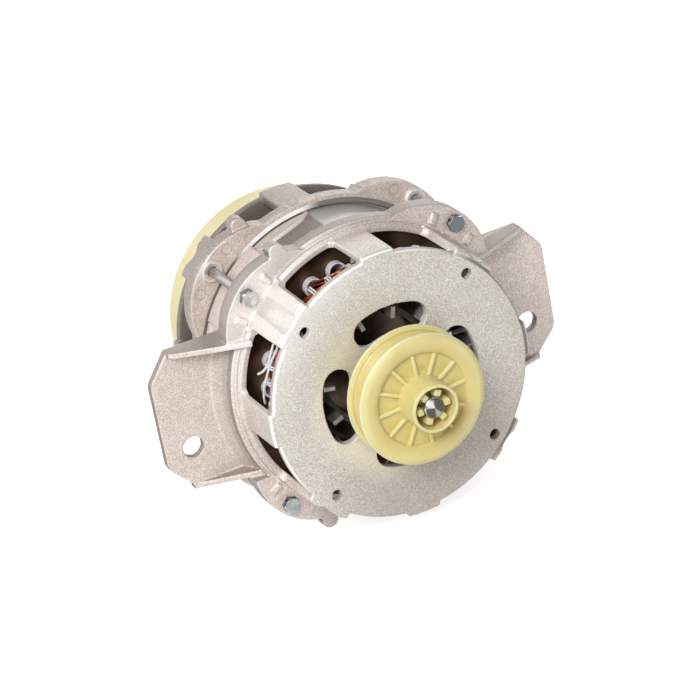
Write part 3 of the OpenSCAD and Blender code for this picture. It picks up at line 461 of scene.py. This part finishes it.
def pulley_painted_light(g, where, tone, shade_tone):
    """Painted shade on the web between the ribs, on the inner part of the crown and in the belt's grooves,
    and painted highlights on the flanges' edges.
    """
    _, depth, _ = parts_of(g, where)
    radius = radius_of(g, where)
    web = g.times(g.fit(depth, -0.0218, -0.0214), g.fit(radius, 0.0126, 0.0130),
                  g.fit(radius, 0.0246, 0.0240))
    # painted shade on the web floor between the ribs
    tone = paint(g, tone, web, shade_tone, 0.26)
    crown = g.times(g.fit(radius, 0.0238, 0.0243), g.fit(radius, 0.0315, 0.0250))
    # painted shade on the inner part of the rim's crown
    tone = paint(g, tone, crown, shade_tone, 0.2)
    wave = g.math("COSINE", g.math("MULTIPLY", g.math("ADD", depth, 0.0213), 2 * math.pi / GROOVE_PITCH))
    belt = g.times(g.fit(radius, 0.0322, 0.0316), g.fit(radius, 0.0275, 0.028),
                   g.fit(depth, -0.0208, -0.0202))
    # painted shade in the belt's grooves
    tone = paint(g, tone, g.times(belt, g.fit(wave, 0.2, -0.6, 0.28, 0.7)), shade_tone)
    # painted highlight on the flanges' outer edge, and a painted highlight line along its front
    tone = paint(g, tone, g.fit(radius, 0.0331, 0.0337), srgb(222, 226, 184), 0.55)
    line = g.times(band(g, radius, 0.0339, 0.0004), g.fit(depth, -0.0222, -0.0226))
    return paint(g, tone, line, srgb(250, 250, 226), 0.5)


def nylon(name, light, dark, shade_tone, glow, is_pulley=False):
    """Natural nylon: waxy, lets some light in, with painted shade in its hollows and painted highlights on
    its edges.
    """
    made, g, out, where = shader(name, {"Roughness": 0.38, "Specular IOR Level": 0.45,
                                        "Subsurface Weight": glow, "Subsurface Scale": 1.0,
                                        "Subsurface Radius": (0.006, 0.0045, 0.002)})
    cloud = g.noise(where, 70, 3)
    tone = g.mix(g.fit(cloud, 0.25, 0.75), dark, light)
    hollow = g.fit(edges(g), -0.02, -0.5)
    rim = g.fit(edges(g), 0.05, 0.4)
    # painted shade in the hollows
    tone = g.mix(hollow, tone, shade_tone)
    # painted highlights on the edges
    tone = paint(g, tone, rim, srgb(238, 242, 212), 0.7)
    if is_pulley:
        tone = pulley_painted_light(g, where, tone, shade_tone)
    wire(g, tone, out.inputs["Base Color"])
    wire(g, g.fit(g.noise(where, 300, 3), 0.3, 0.7, 0.32, 0.46), out.inputs["Roughness"])
    wire(g, g.bump(g.noise(where, 420, 3), 0.1, 0.0003), out.inputs["Normal"])
    return made


ALUMINIUM = cast_aluminium()
ZINC = zinc_steel()
LAMINATION = lamination_steel()
LINER = film("liner_film", srgb(250, 248, 251), srgb(222, 217, 226), 0.35)
WEDGE = film("wedge_film", srgb(206, 180, 140), srgb(170, 140, 104), 0.5)
COPPER = enamelled_copper()
LACING = cord_white()
TURNED = turned_steel()
CAGE = cage_aluminium()
SPRING = plain_metal("spring_steel", srgb(96, 98, 102), srgb(140, 142, 146), 0.3)
BEARING = plain_metal("bearing_steel", srgb(184, 186, 190), srgb(222, 223, 226), 0.16)
CAGE_NYLON = nylon("cage_nylon", srgb(196, 168, 110), srgb(178, 148, 92), srgb(120, 96, 60), 0.1)
PULLEY_NYLON = nylon("pulley_nylon", srgb(232, 221, 162), srgb(226, 211, 142), srgb(196, 166, 62), 0.4, True)
FAN_NYLON = nylon("fan_nylon", srgb(255, 244, 196), srgb(255, 238, 180), srgb(246, 220, 148), 0.15)


# ---------------------------------------------------------------- mesh helpers

def mesh_object(name, points, faces, smooth=True):
    mesh = bpy.data.meshes.new(name)
    mesh.from_pydata([tuple(p) for p in points], [], [tuple(f) for f in faces])
    mesh.update()
    mesh.polygons.foreach_set("use_smooth", [smooth] * len(mesh.polygons))
    made = bpy.data.objects.new(name, mesh)
    bpy.context.scene.collection.objects.link(made)
    return made


def evaluated(source, name):
    """A new mesh with the modifiers of an object applied."""
    graph = bpy.context.evaluated_depsgraph_get()
    graph.update()
    mesh = bpy.data.meshes.new_from_object(source.evaluated_get(graph))
    mesh.name = name
    return mesh


def coordinates(mesh):
    co = np.empty(len(mesh.vertices) * 3)
    mesh.vertices.foreach_get("co", co)
    return co.reshape(-1, 3)


def edge_pairs(mesh):
    pairs = np.empty(len(mesh.edges) * 2, dtype=np.int64)
    mesh.edges.foreach_get("vertices", pairs)
    return pairs.reshape(-1, 2)


def relaxed(co, pairs, passes, share=0.5):
    """Points moved towards the mean of their neighbours, several times."""
    a, b = pairs[:, 0], pairs[:, 1]
    count = np.bincount(a, minlength=len(co)) + np.bincount(b, minlength=len(co))
    count = np.maximum(count, 1)
    for _ in range(passes):
        total = np.empty_like(co)
        for k in range(3):
            total[:, k] = (np.bincount(a, weights=co[b, k], minlength=len(co))
                           + np.bincount(b, weights=co[a, k], minlength=len(co)))
        co = co + share * (total / count[:, None] - co)
    return co


def vertex_normals(mesh):
    normals = np.empty(len(mesh.vertices) * 3)
    mesh.vertices.foreach_get("normal", normals)
    return normals.reshape(-1, 3)


def cast_copy(node, name, voxel, passes, most, sculpt=None, painted_shading_of=None, reach=7):
    """A copy of a node whose edges are rounded as a casting's or moulding's are.

    The attribute "edge" is above 0 on its outer edges and below 0 in its corners, and "shade" is the painted
    shade (above 0) or painted highlight (below 0) that the painted_shading_of function gives for each point."""
    work = bpy.data.objects.new(name, NODES[node].data.copy())
    bpy.context.scene.collection.objects.link(work)
    work.modifiers.new("remesh", "REMESH").mode = "VOXEL"
    work.modifiers["remesh"].voxel_size = voxel
    mesh = evaluated(work, name)
    co, pairs = coordinates(mesh), edge_pairs(mesh)
    co = relaxed(co, pairs, passes)
    if sculpt is not None:
        co = sculpt(co)
    mesh.vertices.foreach_set("co", co.ravel())
    mesh.update()
    broad = relaxed(co, pairs, reach)
    marks = ((co - broad) * vertex_normals(mesh)).sum(axis=1) / (voxel * 1.6)
    marks = relaxed(marks[:, None].repeat(3, axis=1), pairs, 2)[:, 0]
    work.modifiers.clear()
    work.data = mesh
    faces = sum(len(p.vertices) - 2 for p in mesh.polygons)
    thin = work.modifiers.new("thin", "DECIMATE")
    thin.ratio = min(1.0, most / faces)
    light = evaluated(work, name)
    work.modifiers.clear()
    work.data = light
    tree = KDTree(len(co))
    for k, p in enumerate(co):
        tree.insert(p, k)
    tree.balance()
    nearest = [tree.find(v.co)[1] for v in light.vertices]
    stored = light.attributes.new("edge", "FLOAT", "POINT")
    stored.data.foreach_set("value", marks[nearest].astype(np.float32))
    if painted_shading_of is not None:
        stored = light.attributes.new("shade", "FLOAT", "POINT")
        painted_shading = painted_shading_of(coordinates(light), vertex_normals(light))
        stored.data.foreach_set("value", painted_shading.astype(np.float32))
    light.polygons.foreach_set("use_smooth", [True] * len(light.polygons))
    light.materials.clear()
    work.modifiers.new("normals", "WEIGHTED_NORMAL").weight = 60
    return work


def tube(points, radius, sides, closed, offset=0):
    """Rings of points and faces of a tube along a line, counted from offset."""
    line = np.asarray(points, dtype=float)
    n = len(line)
    ahead = np.roll(line, -1, axis=0) - np.roll(line, 1, axis=0)
    if not closed:
        ahead[0] = line[1] - line[0]
        ahead[-1] = line[-1] - line[-2]
    ahead /= np.linalg.norm(ahead, axis=1)[:, None]
    side = np.empty_like(line)
    side[0] = np.cross(ahead[0], [0.31, 0.52, 0.79])
    side[0] /= np.linalg.norm(side[0])
    for i in range(1, n):
        s = side[i - 1] - ahead[i] * np.dot(side[i - 1], ahead[i])
        side[i] = s / np.linalg.norm(s)
    up = np.cross(ahead, side)
    turn = np.zeros(n)
    if closed:
        last = side[-1] - ahead[0] * np.dot(side[-1], ahead[0])
        last /= np.linalg.norm(last)
        gap = math.atan2(np.dot(last, up[0]), np.dot(last, side[0]))
        turn = -gap * np.arange(n) / n
    points, faces = [], []
    for i in range(n):
        for k in range(sides):
            a = turn[i] + 2 * math.pi * k / sides
            points.append(line[i] + radius * (math.cos(a) * side[i] + math.sin(a) * up[i]))
    for i in range(n if closed else n - 1):
        j = (i + 1) % n
        for k in range(sides):
            m = (k + 1) % sides
            faces.append((offset + i * sides + k, offset + i * sides + m, offset + j * sides + m,
                          offset + j * sides + k))
    if not closed:
        faces.append(tuple(offset + k for k in range(sides))[::-1])
        faces.append(tuple(offset + (n - 1) * sides + k for k in range(sides)))
    return points, faces


def dress(piece, body, slot, material, *replaced):
    """Gives a piece its material and body, and hides the nodes that it stands for. Its slot is not used."""
    piece.data.materials.clear()
    piece.data.materials.append(material)
    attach(piece, body)
    if replaced:
        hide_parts(*replaced)
    return piece


# ---------------------------------------------------------------- castings and mouldings

def polar(co):
    """Each point's distance from the axis, and its angle in degrees from +X towards +Z."""
    return np.hypot(co[:, 0], co[:, 2]), np.degrees(np.arctan2(co[:, 2], co[:, 0])) % 360


def step(v, low, high):
    """0 at low and 1 at high, smooth between."""
    t = np.clip((v - low) / (high - low), 0, 1)
    return t * t * (3 - 2 * t)


CREST_TURNS = [0.0, 4.2, 8.6, 13.1, 21.5, 25.5, 28.0]
CREST_DEPTHS = [0.0740, 0.0682, 0.0660, 0.0652, 0.0654, 0.0688, 0.0750]
SKIRT_STARTS = (92.5, 272.5)


def skirt_crest(co):
    """The curved crest on both skirts of the front casting, with the slope behind it."""
    radius, angle = polar(co)
    co = co.copy()
    for start in SKIRT_STARTS:
        turn = angle - start
        behind = co[:, 1] - np.interp(turn, CREST_TURNS, CREST_DEPTHS)
        near = np.exp(-(behind / 0.0010) ** 2) * step(turn, 25.5, 21)
        wanted = 0.0722 + 0.0013 * near - 0.0012 * step(behind, 0.0, 0.006)
        here = (turn > -1) & (turn < 27) & (radius < 0.0745) & (co[:, 1] < SKIRT_END + 0.001)
        share = (here * step(co[:, 1], LUG_BACK + 0.0005, LUG_BACK + 0.0025) * step(turn, 27, 25)
                 * step(radius, 0.0706, 0.0717))
        moved = radius + share * (wanted - radius)
        co[:, 0] *= moved / radius
        co[:, 2] *= moved / radius
    return co


def wide_openings(co):
    """Thinner pillars and ring round the front casting's windows, and longer curved openings."""
    radius, angle = polar(co)
    ring = step(co[:, 1], 0.0048, 0.0066) * (radius > 0.0640) * (radius < 0.0715)
    moved = radius + ring * (0.0715 - radius) * 0.6
    local = (angle + 45) % 90 - 45
    off = np.abs(local)
    here = step(radius, 0.0245, 0.0262) * step(radius, 0.0460, 0.0443) * step(co[:, 1], 0.0066, 0.0054)
    longer = 1.9 * np.sign(local) * here * step(off, 15, 23) * step(off, 43, 33)
    turned = np.radians(angle + longer)
    co = co.copy()
    co[:, 0] = moved * np.cos(turned)
    co[:, 2] = moved * np.sin(turned)
    return co


def front_shape(co):
    return wide_openings(skirt_crest(co))


def front_painted_shading(co, normals):
    """Painted shade on the outer sides of ring, lugs and ears, and more on the main faces of the skirts;
    painted highlights on the plate's window lips that face the upper left, on the pads and along the skirts'
    crests.
    """
    radius, angle = polar(co)
    sideways = step(np.abs(normals[:, 1]), 0.5, 0.2)
    outer = sideways * step(radius, 0.0748, 0.0758) * (co[:, 1] > 0.0335)
    # painted shade on the outer sides of ring, lugs and ears, more on the ears' lower sides
    painted_shading = 0.72 * outer + 0.6 * outer * step(radius, 0.084, 0.086) * step(normals[:, 2], 0.35, 0.1)
    lit = step(-0.7 * normals[:, 0] + 0.7 * normals[:, 2], 0.15, 0.75)
    # painted highlight on the plate's window lips that face the upper left
    painted_shading -= lit * (radius < 0.062) * (co[:, 1] > 0.0001) * step(co[:, 1], 0.0048, 0.0040)
    pads = (radius > 0.0735) & (co[:, 1] > LUG_BACK + 0.0006) & (co[:, 1] < SKIRT_END + 0.0004)
    for start in SKIRT_STARTS:
        turn = angle - start
        behind = co[:, 1] - np.interp(turn, CREST_TURNS, CREST_DEPTHS)
        here = ((turn > 0.3) & (turn < 26) & (radius > 0.0708) & (radius < 0.0745)
                & (co[:, 1] > LUG_BACK + 0.001))
        # painted shade on the skirts' main faces in front of the crest, and a little behind it
        painted_shading += here * (1.15 * step(behind, -0.0012, -0.0022) + 0.15 * step(behind, 0.0010, 0.0018))
        # painted highlight on the pads
        painted_shading -= 0.2 * pads * (turn > 24) * (turn < 62)
        # painted highlight along the skirts' crests
        painted_shading -= 0.45 * here * np.exp(-(behind / 0.0011) ** 2)
    return painted_shading


def rear_marks(co):
    """A flatter machined mouth, raised rings round the bolts and thin rings of ejector pins."""
    radius, _ = polar(co)
    co = co.copy()
    face = MOTOR_LENGTH - LUG_BACK
    mouth = (radius < 0.0744) & (co[:, 1] > face - 0.0004) & (co[:, 1] < face + 0.0045)
    wanted = face + 0.0002
    co[:, 1] += mouth * step(radius, 0.0712, 0.0720) * np.minimum(0, wanted - co[:, 1])
    front = (co[:, 1] < face + 0.0012) & (co[:, 1] > face - 0.0016)
    for k in range(4):
        a = math.radians(45 + 90 * k)
        ring = np.hypot(co[:, 0] - BOLT_AT * math.cos(a), co[:, 2] - BOLT_AT * math.sin(a))
        co[:, 1] -= front * 0.0007 * step(ring, 0.0060, 0.0053) * (ring >= 0.0041)
        sunk = (ring < 0.0041) & (co[:, 1] > face - 0.0012) & (co[:, 1] < face + 0.0019)
        co[:, 1] = np.where(sunk, face - 0.0007, co[:, 1])
        for side in (-1, 1):
            b = a + side * MARK_TURN
            mark = np.hypot(co[:, 0] - MARK_AT * math.cos(b), co[:, 2] - MARK_AT * math.sin(b))
            co[:, 1] += front * 0.0003 * np.exp(-((mark - 0.0028) / 0.00035) ** 2)
    return co


def rear_painted_shading(co, normals):
    """Painted shade on the rear casting behind its front ring, most of all inside its windows."""
    radius, _ = polar(co)
    outer = (0.6 * step(co[:, 1], 0.0775, 0.0785) * step(radius, 0.0700, 0.0712)
             * step(-normals[:, 1], 0.8, 0.5))
    inner = 0.95 * step(co[:, 1], 0.0815, 0.0830) * step(radius, 0.0712, 0.0700)
    return outer + inner


front = cast_copy("front_bracket", "front_casting", 0.00052, 2, 185000, front_shape, front_painted_shading)
dress(front, "motor_frame", "cast_aluminium", ALUMINIUM, "front_bracket")
rear = cast_copy("rear_bracket", "rear_casting", 0.00055, 2, 140000, rear_marks, rear_painted_shading)
dress(rear, "motor_frame", "cast_aluminium", ALUMINIUM, "rear_bracket")


def rounded_rim(co):
    """The front of the pulley's rim is crowned: it falls away towards both of its edges."""
    radius, _ = polar(co)
    co = co.copy()
    off = np.clip((radius - 0.0292) / 0.0052, -1, 1)
    front = step(co[:, 1], -0.0205, -0.0232) * step(radius, 0.0238, 0.0243)
    co[:, 1] += front * 0.0013 * np.abs(off) ** 3
    web = (radius > 0.0134) & (radius < 0.0236) & (np.abs(co[:, 1] - WEB_FRONT) < 0.00032)
    co[:, 1] = np.where(web, WEB_FRONT, co[:, 1])
    return co


pulley = cast_copy("pulley", "pulley_moulding", 0.00036, 2, 180000, rounded_rim)
dress(pulley, "rotor", "natural_nylon", PULLEY_NYLON, "pulley")
fan = cast_copy("fan", "fan_moulding", 0.0006, 2, 90000)
dress(fan, "rotor", "natural_nylon", FAN_NYLON, "fan")


# ---------------------------------------------------------------- windings

def arch(turn, half, overhang, leg_r, bulge):
    """A point of a coil's end turn: its angle from the middle, radius and height over the slots."""
    c, s = math.cos(turn), math.sin(turn)
    across = math.copysign(abs(c) ** (2 / SQUARENESS), c)
    out = abs(s) ** (2 / SQUARENESS)
    return half * across, leg_r + bulge * out, (overhang - COIL_CLEAR) * out


def coil_line(middle, half, overhang, leg_r, bulge, steps=22, legs=4):
    """Route of one coil, as part.scad has it, with more points. Depth grows away from the pulley."""
    route = []
    for i in range(steps):
        p = arch(math.pi * (i + 0.5) / steps, half, overhang, leg_r, bulge)
        route.append((middle + p[0], p[1], STACK_FRONT - COIL_CLEAR - p[2]))
    for i in range(legs + 1):
        route.append((middle - half, leg_r,
                      STACK_FRONT - COIL_CLEAR + (STACK_BACK - STACK_FRONT + 2 * COIL_CLEAR) * i / legs))
    for i in range(steps):
        p = arch(math.pi * (i + 0.5) / steps, half, overhang, leg_r, bulge)
        route.append((middle - p[0], p[1], STACK_BACK + COIL_CLEAR + p[2]))
    for i in range(legs + 1):
        route.append((middle + half, leg_r,
                      STACK_BACK + COIL_CLEAR - (STACK_BACK - STACK_FRONT + 2 * COIL_CLEAR) * i / legs))
    return np.array([(r * math.cos(math.radians(a)), y, r * math.sin(math.radians(a))) for a, r, y in route])


WIRE_R = 0.0004
WIRES = 17
CORE_R = BUNDLE_R - 0.0009


def strands(line, seed, count, reach):
    """Wires that wander side by side along a closed line."""
    rng = np.random.default_rng(seed)
    n = len(line)
    ahead = np.roll(line, -1, axis=0) - np.roll(line, 1, axis=0)
    ahead /= np.linalg.norm(ahead, axis=1)[:, None]
    away = line * np.array([1.0, 0.0, 1.0])
    out = away - ahead * (away * ahead).sum(axis=1)[:, None]
    out /= np.linalg.norm(out, axis=1)[:, None]
    side = np.cross(ahead, out)
    along = np.arange(n) / n * 2 * math.pi
    made = []
    for k in range(count):
        start = 2 * math.pi * (k + rng.uniform(-0.3, 0.3)) / count
        drift = sum(rng.uniform(-0.5, 0.5) * np.sin(f * along + rng.uniform(0, 6.3)) for f in (1, 2, 3, 5))
        far = reach * (1 + sum(rng.uniform(-0.05, 0.05) * np.sin(f * along + rng.uniform(0, 6.3))
                               for f in (2, 3, 5, 7)))
        a = start + drift
        made.append(line + (far * np.cos(a))[:, None] * out + (far * np.sin(a))[:, None] * side)
    return made


def winding(name, first, leg_r, bulge, node, seed):
    """Eight coils of loose wires round a core that is painted dark as the shade between the wires. The
    attribute "edge" is 0 on the core.
    """
    points, faces, marks = [], [], []
    for pole in range(4):
        middle = first + 90.0 * pole
        for half, overhang, share in ((2.5 * SLOT_PITCH, WIDE_OVERHANG, 1.0),
                                      (1.5 * SLOT_PITCH, NARROW_OVERHANG, 0.6)):
            seed += 1
            line = coil_line(middle, half, overhang, leg_r, bulge * share)
            p, f = tube(line, CORE_R, 7, True, len(points))
            points += p
            faces += f
            marks += [0.0] * len(p)
            for k, wire_line in enumerate(strands(line, seed, WIRES, BUNDLE_R - WIRE_R)):
                p, f = tube(wire_line, WIRE_R, 5, True, len(points))
                points += p
                faces += f
                marks += [0.55 + 0.45 * ((k * 7 + seed * 3) % 5) / 4] * len(p)
    made = mesh_object(name, points, faces)
    stored = made.data.attributes.new("edge", "FLOAT", "POINT")
    stored.data.foreach_set("value", np.array(marks, dtype=np.float32))
    return dress(made, "motor_frame", "enamelled_copper", COPPER, node)


winding("run_wires", FIRST_ANGLE, RUN_LEG_R, RUN_BULGE, "run_winding", 11)
winding("start_wires", FIRST_ANGLE + 3 * SLOT_PITCH, START_LEG_R, START_BULGE, "start_winding", 47)


PLY_R = 0.00034
PLY_OUT = 0.00038
PLY_TURNS = 96
TIE_R = 0.00045
TIE_APART = 0.0006
END_R = 0.00062


def laced(name, node, crown, away, seed):
    """A twisted hoop of cord on the crowns of the wide coils, tied round them at intervals."""
    rng = np.random.default_rng(seed)
    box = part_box(node)
    hoop_r = (box[1][0] - box[0][0]) / 2 - 0.0007
    depth = (box[0][1] + box[1][1]) / 2
    points, faces = [], []
    for ply in range(3):
        line = []
        for i in range(720):
            a = 2 * math.pi * i / 720
            b = PLY_TURNS * a + 2 * math.pi * ply / 3
            r = hoop_r + PLY_OUT * math.cos(b)
            line.append((r * math.cos(a), depth + PLY_OUT * math.sin(b), r * math.sin(a)))
        p, f = tube(line, PLY_R, 5, True, len(points))
        points += p
        faces += f
    for pole in range(4):
        middle = math.radians(FIRST_ANGLE + 90 * pole)
        for k in range(7):
            a = middle + math.radians(-27 + 9 * k + rng.uniform(-1.6, 1.6))
            if away < 0 and pole == 0 and k in (4, 5, 6):
                continue
            turn = math.degrees(a - middle) / 37.5
            out = (1 - min(0.999, abs(turn)) ** SQUARENESS) ** (1 / SQUARENESS)
            coil_r = RUN_LEG_R + RUN_BULGE * out
            coil_y = crown + away * (WIDE_OVERHANG - COIL_CLEAR) * (1 - out)
            middle_r, middle_y = (coil_r + hoop_r) / 2, (coil_y + depth) / 2
            reach = math.hypot(coil_r - hoop_r, coil_y - depth) / 2 + 0.0024
            lean = rng.uniform(-0.03, 0.03)
            for twin in (-TIE_APART, TIE_APART):
                line = []
                for i in range(20):
                    b = 2 * math.pi * i / 20
                    r = middle_r + reach * math.cos(b)
                    y = middle_y + reach * math.sin(b)
                    c = a + (twin + lean * 0.01 * math.cos(b)) / middle_r
                    line.append((r * math.cos(c), y, r * math.sin(c)))
                p, f = tube(line, TIE_R, 6, True, len(points))
                points += p
                faces += f
    return dress(mesh_object(name, points, faces), "motor_frame", "lacing_cord", LACING, node)


laced("front_ties", "front_lacing", STACK_FRONT - WIDE_OVERHANG, 1, 5)
laced("rear_ties", "rear_lacing", STACK_BACK + WIDE_OVERHANG, -1, 6)


def cord_ends():
    """Loose ends of the front lacing, which cross in the left window."""
    routes = (
        [(-0.0530, 0.0170, 0.0415), (-0.0565, 0.0165, 0.0362), (-0.0600, 0.0160, 0.0300),
         (-0.0618, 0.0158, 0.0272), (-0.0640, 0.0168, 0.0250), (-0.0662, 0.0185, 0.0238)],
        [(-0.0512, 0.0172, 0.0402), (-0.0548, 0.0155, 0.0345), (-0.0590, 0.0150, 0.0300),
         (-0.0612, 0.0152, 0.0262), (-0.0632, 0.0160, 0.0215), (-0.0650, 0.0172, 0.0165),
         (-0.0656, 0.0185, 0.0105), (-0.0652, 0.0196, 0.0070)],
        [(-0.0622, 0.0162, 0.0285), (-0.0606, 0.0146, 0.0272), (-0.0600, 0.0150, 0.0262),
         (-0.0614, 0.0160, 0.0268)],
    )
    points, faces = [], []
    for route in routes:
        route = np.array(route)
        at = np.linspace(0, len(route) - 1, 8 * len(route))
        line = np.stack([np.interp(at, range(len(route)), route[:, k]) for k in range(3)], axis=1)
        for _ in range(6):
            line[1:-1] = 0.5 * line[1:-1] + 0.25 * (line[:-2] + line[2:])
        p, f = tube(line, END_R, 8, False, len(points))
        points += p
        faces += f
    return dress(mesh_object("cord_ends", points, faces), "motor_frame", "lacing_cord", LACING)


cord_ends()


# ---------------------------------------------------------------- nodes that keep their CAD shape

KEPT = {
    "through_bolts": ZINC, "stator_core": LAMINATION, "slot_liners": LINER, "slot_wedges": WEDGE,
    "shaft": TURNED, "rotor_core": LAMINATION, "rotor_cage": CAGE, "shaft_snap_ring": SPRING,
    "wave_washer": SPRING, "fan_nut": SPRING,
}
for end in ("front", "rear"):
    KEPT[end + "_bearing_outer_ring"] = BEARING
    KEPT[end + "_bearing_inner_ring"] = BEARING
    KEPT[end + "_bearing_balls"] = BEARING
    KEPT[end + "_bearing_shields"] = SPRING
    KEPT[end + "_bearing_cage"] = CAGE_NYLON
for node, width in (("through_bolts", 0.00028), ("shaft", 0.00015), ("rotor_cage", 0.0003)):
    weld = NODES[node].modifiers.new("weld", "WELD")
    weld.merge_threshold = 0.000005
    bevel = NODES[node].modifiers.new("bevel", "BEVEL")
    bevel.width = width
    bevel.segments = 2
    bevel.limit_method = "ANGLE"
    bevel.angle_limit = math.radians(28)
    bevel.use_clamp_overlap = True
for node, material in KEPT.items():
    slots = NODES[node].material_slots
    for entry in slots:
        entry.material = material


# ---------------------------------------------------------------- stage, light and camera

def white_for_camera(name, colour, glow):
    """A pale floor that keeps its shadow and looks white where the light reaches it."""
    made, g, out, where = shader(name, {"Roughness": 0.9, "Specular IOR Level": 0.1})
    tone = g.mix(g.fit(g.noise(where, 9, 3), 0.3, 0.7), srgb(*[v - 2 for v in colour]), srgb(*colour))
    wire(g, tone, out.inputs["Base Color"])
    path = g.node("ShaderNodeLightPath")
    seen = g.math("MAXIMUM", path.outputs["Is Camera Ray"],
                  g.math("MAXIMUM", path.outputs["Is Glossy Ray"], path.outputs["Is Transmission Ray"]))
    light = g.node("ShaderNodeEmission", {"Color": (1.0, 1.0, 1.0, 1.0),
                                          "Strength": g.math("MULTIPLY", seen, glow)})
    both = g.node("ShaderNodeAddShader", {0: out.outputs[0], 1: light.outputs[0]})
    wire(g, both.outputs[0], g.tree.nodes["Material Output"].inputs["Surface"])
    return made


floor = mesh_object("floor", [(-4, -4, FLOOR_Z), (4, -4, FLOOR_Z), (4, 4, FLOOR_Z), (-4, 4, FLOOR_Z)],
                    [(0, 1, 2, 3)], smooth=False)
floor.data.materials.append(white_for_camera("floor_paper", (226, 226, 226), 0.78))


def world():
    """White for the camera, soft light from all round, and a bright patch for metal to mirror."""
    made = bpy.data.worlds.new("studio")
    made.use_nodes = True
    g = Graph(made.node_tree)
    g.tree.nodes.clear()
    where = g.node("ShaderNodeTexCoord").outputs["Generated"]
    right, back, up = parts_of(g, where)
    path = g.node("ShaderNodeLightPath")
    soft = g.fit(back, -0.6, 0.6, 0.34, 0.2)
    toward = g.math("ADD", g.math("MULTIPLY", right, -0.7), g.math("ADD", g.math(
        "MULTIPLY", back, 0.3), g.math("MULTIPLY", up, 0.65)))
    backdrop = g.math("MULTIPLY", g.fit(back, -0.1, 0.3), g.fit(up, 0.75, 0.4))
    glossy = g.math("MAXIMUM", g.fit(toward, 0.7, 0.93, 0.3, 2.6), backdrop)
    level = g.math("ADD", g.math("MULTIPLY", path.outputs["Is Glossy Ray"], glossy),
                   g.math("MULTIPLY", g.math("SUBTRACT", 1.0, path.outputs["Is Glossy Ray"]), soft))
    seen = g.math("MAXIMUM", path.outputs["Is Camera Ray"], path.outputs["Is Transmission Ray"])
    level = g.math("ADD", seen, g.math("MULTIPLY", g.math("SUBTRACT", 1.0, seen), level))
    light = g.node("ShaderNodeBackground", {"Color": (1.0, 1.0, 1.0, 1.0), "Strength": level})
    wire(g, light.outputs[0], g.node("ShaderNodeOutputWorld").inputs["Surface"])
    return made


scene = bpy.context.scene
scene.world = world()
scene.view_settings.view_transform = "Standard"

CAMERA_AT = Vector((-0.57907, -1.40175, 0.71869))
CAMERA_RIGHT = Vector((0.88328, -0.43556, -0.17353))
CAMERA_UP = Vector((0.32809, 0.30978, 0.89241))
CAMERA_AHEAD = Vector((0.33494, 0.84518, -0.41652))

camera_data = bpy.data.cameras.new("camera")
camera_data.lens = 174.857
camera_data.sensor_width = 36
camera_data.clip_end = 20
camera = bpy.data.objects.new("camera", camera_data)
scene.collection.objects.link(camera)
turn = Matrix((CAMERA_RIGHT, CAMERA_UP, -CAMERA_AHEAD)).transposed().to_4x4()
camera.matrix_world = Matrix.Translation(CAMERA_AT) @ turn
scene.camera = camera


def area_light(name, at, to, size, power):
    data = bpy.data.lights.new(name, "AREA")
    data.shape = "DISK"
    data.size = size
    data.energy = power
    made = bpy.data.objects.new(name, data)
    scene.collection.objects.link(made)
    made.location = at
    made.rotation_euler = (Vector(to) - Vector(at)).to_track_quat("-Z", "Y").to_euler()
    return made


MIDDLE = (0.0, 0.04, 0.0)
area_light("key", (-0.64, -0.80, 0.82), MIDDLE, 0.6, 13.5)
area_light("back_fill", (0.6, 1.5, 0.35), MIDDLE, 1.0, 7)
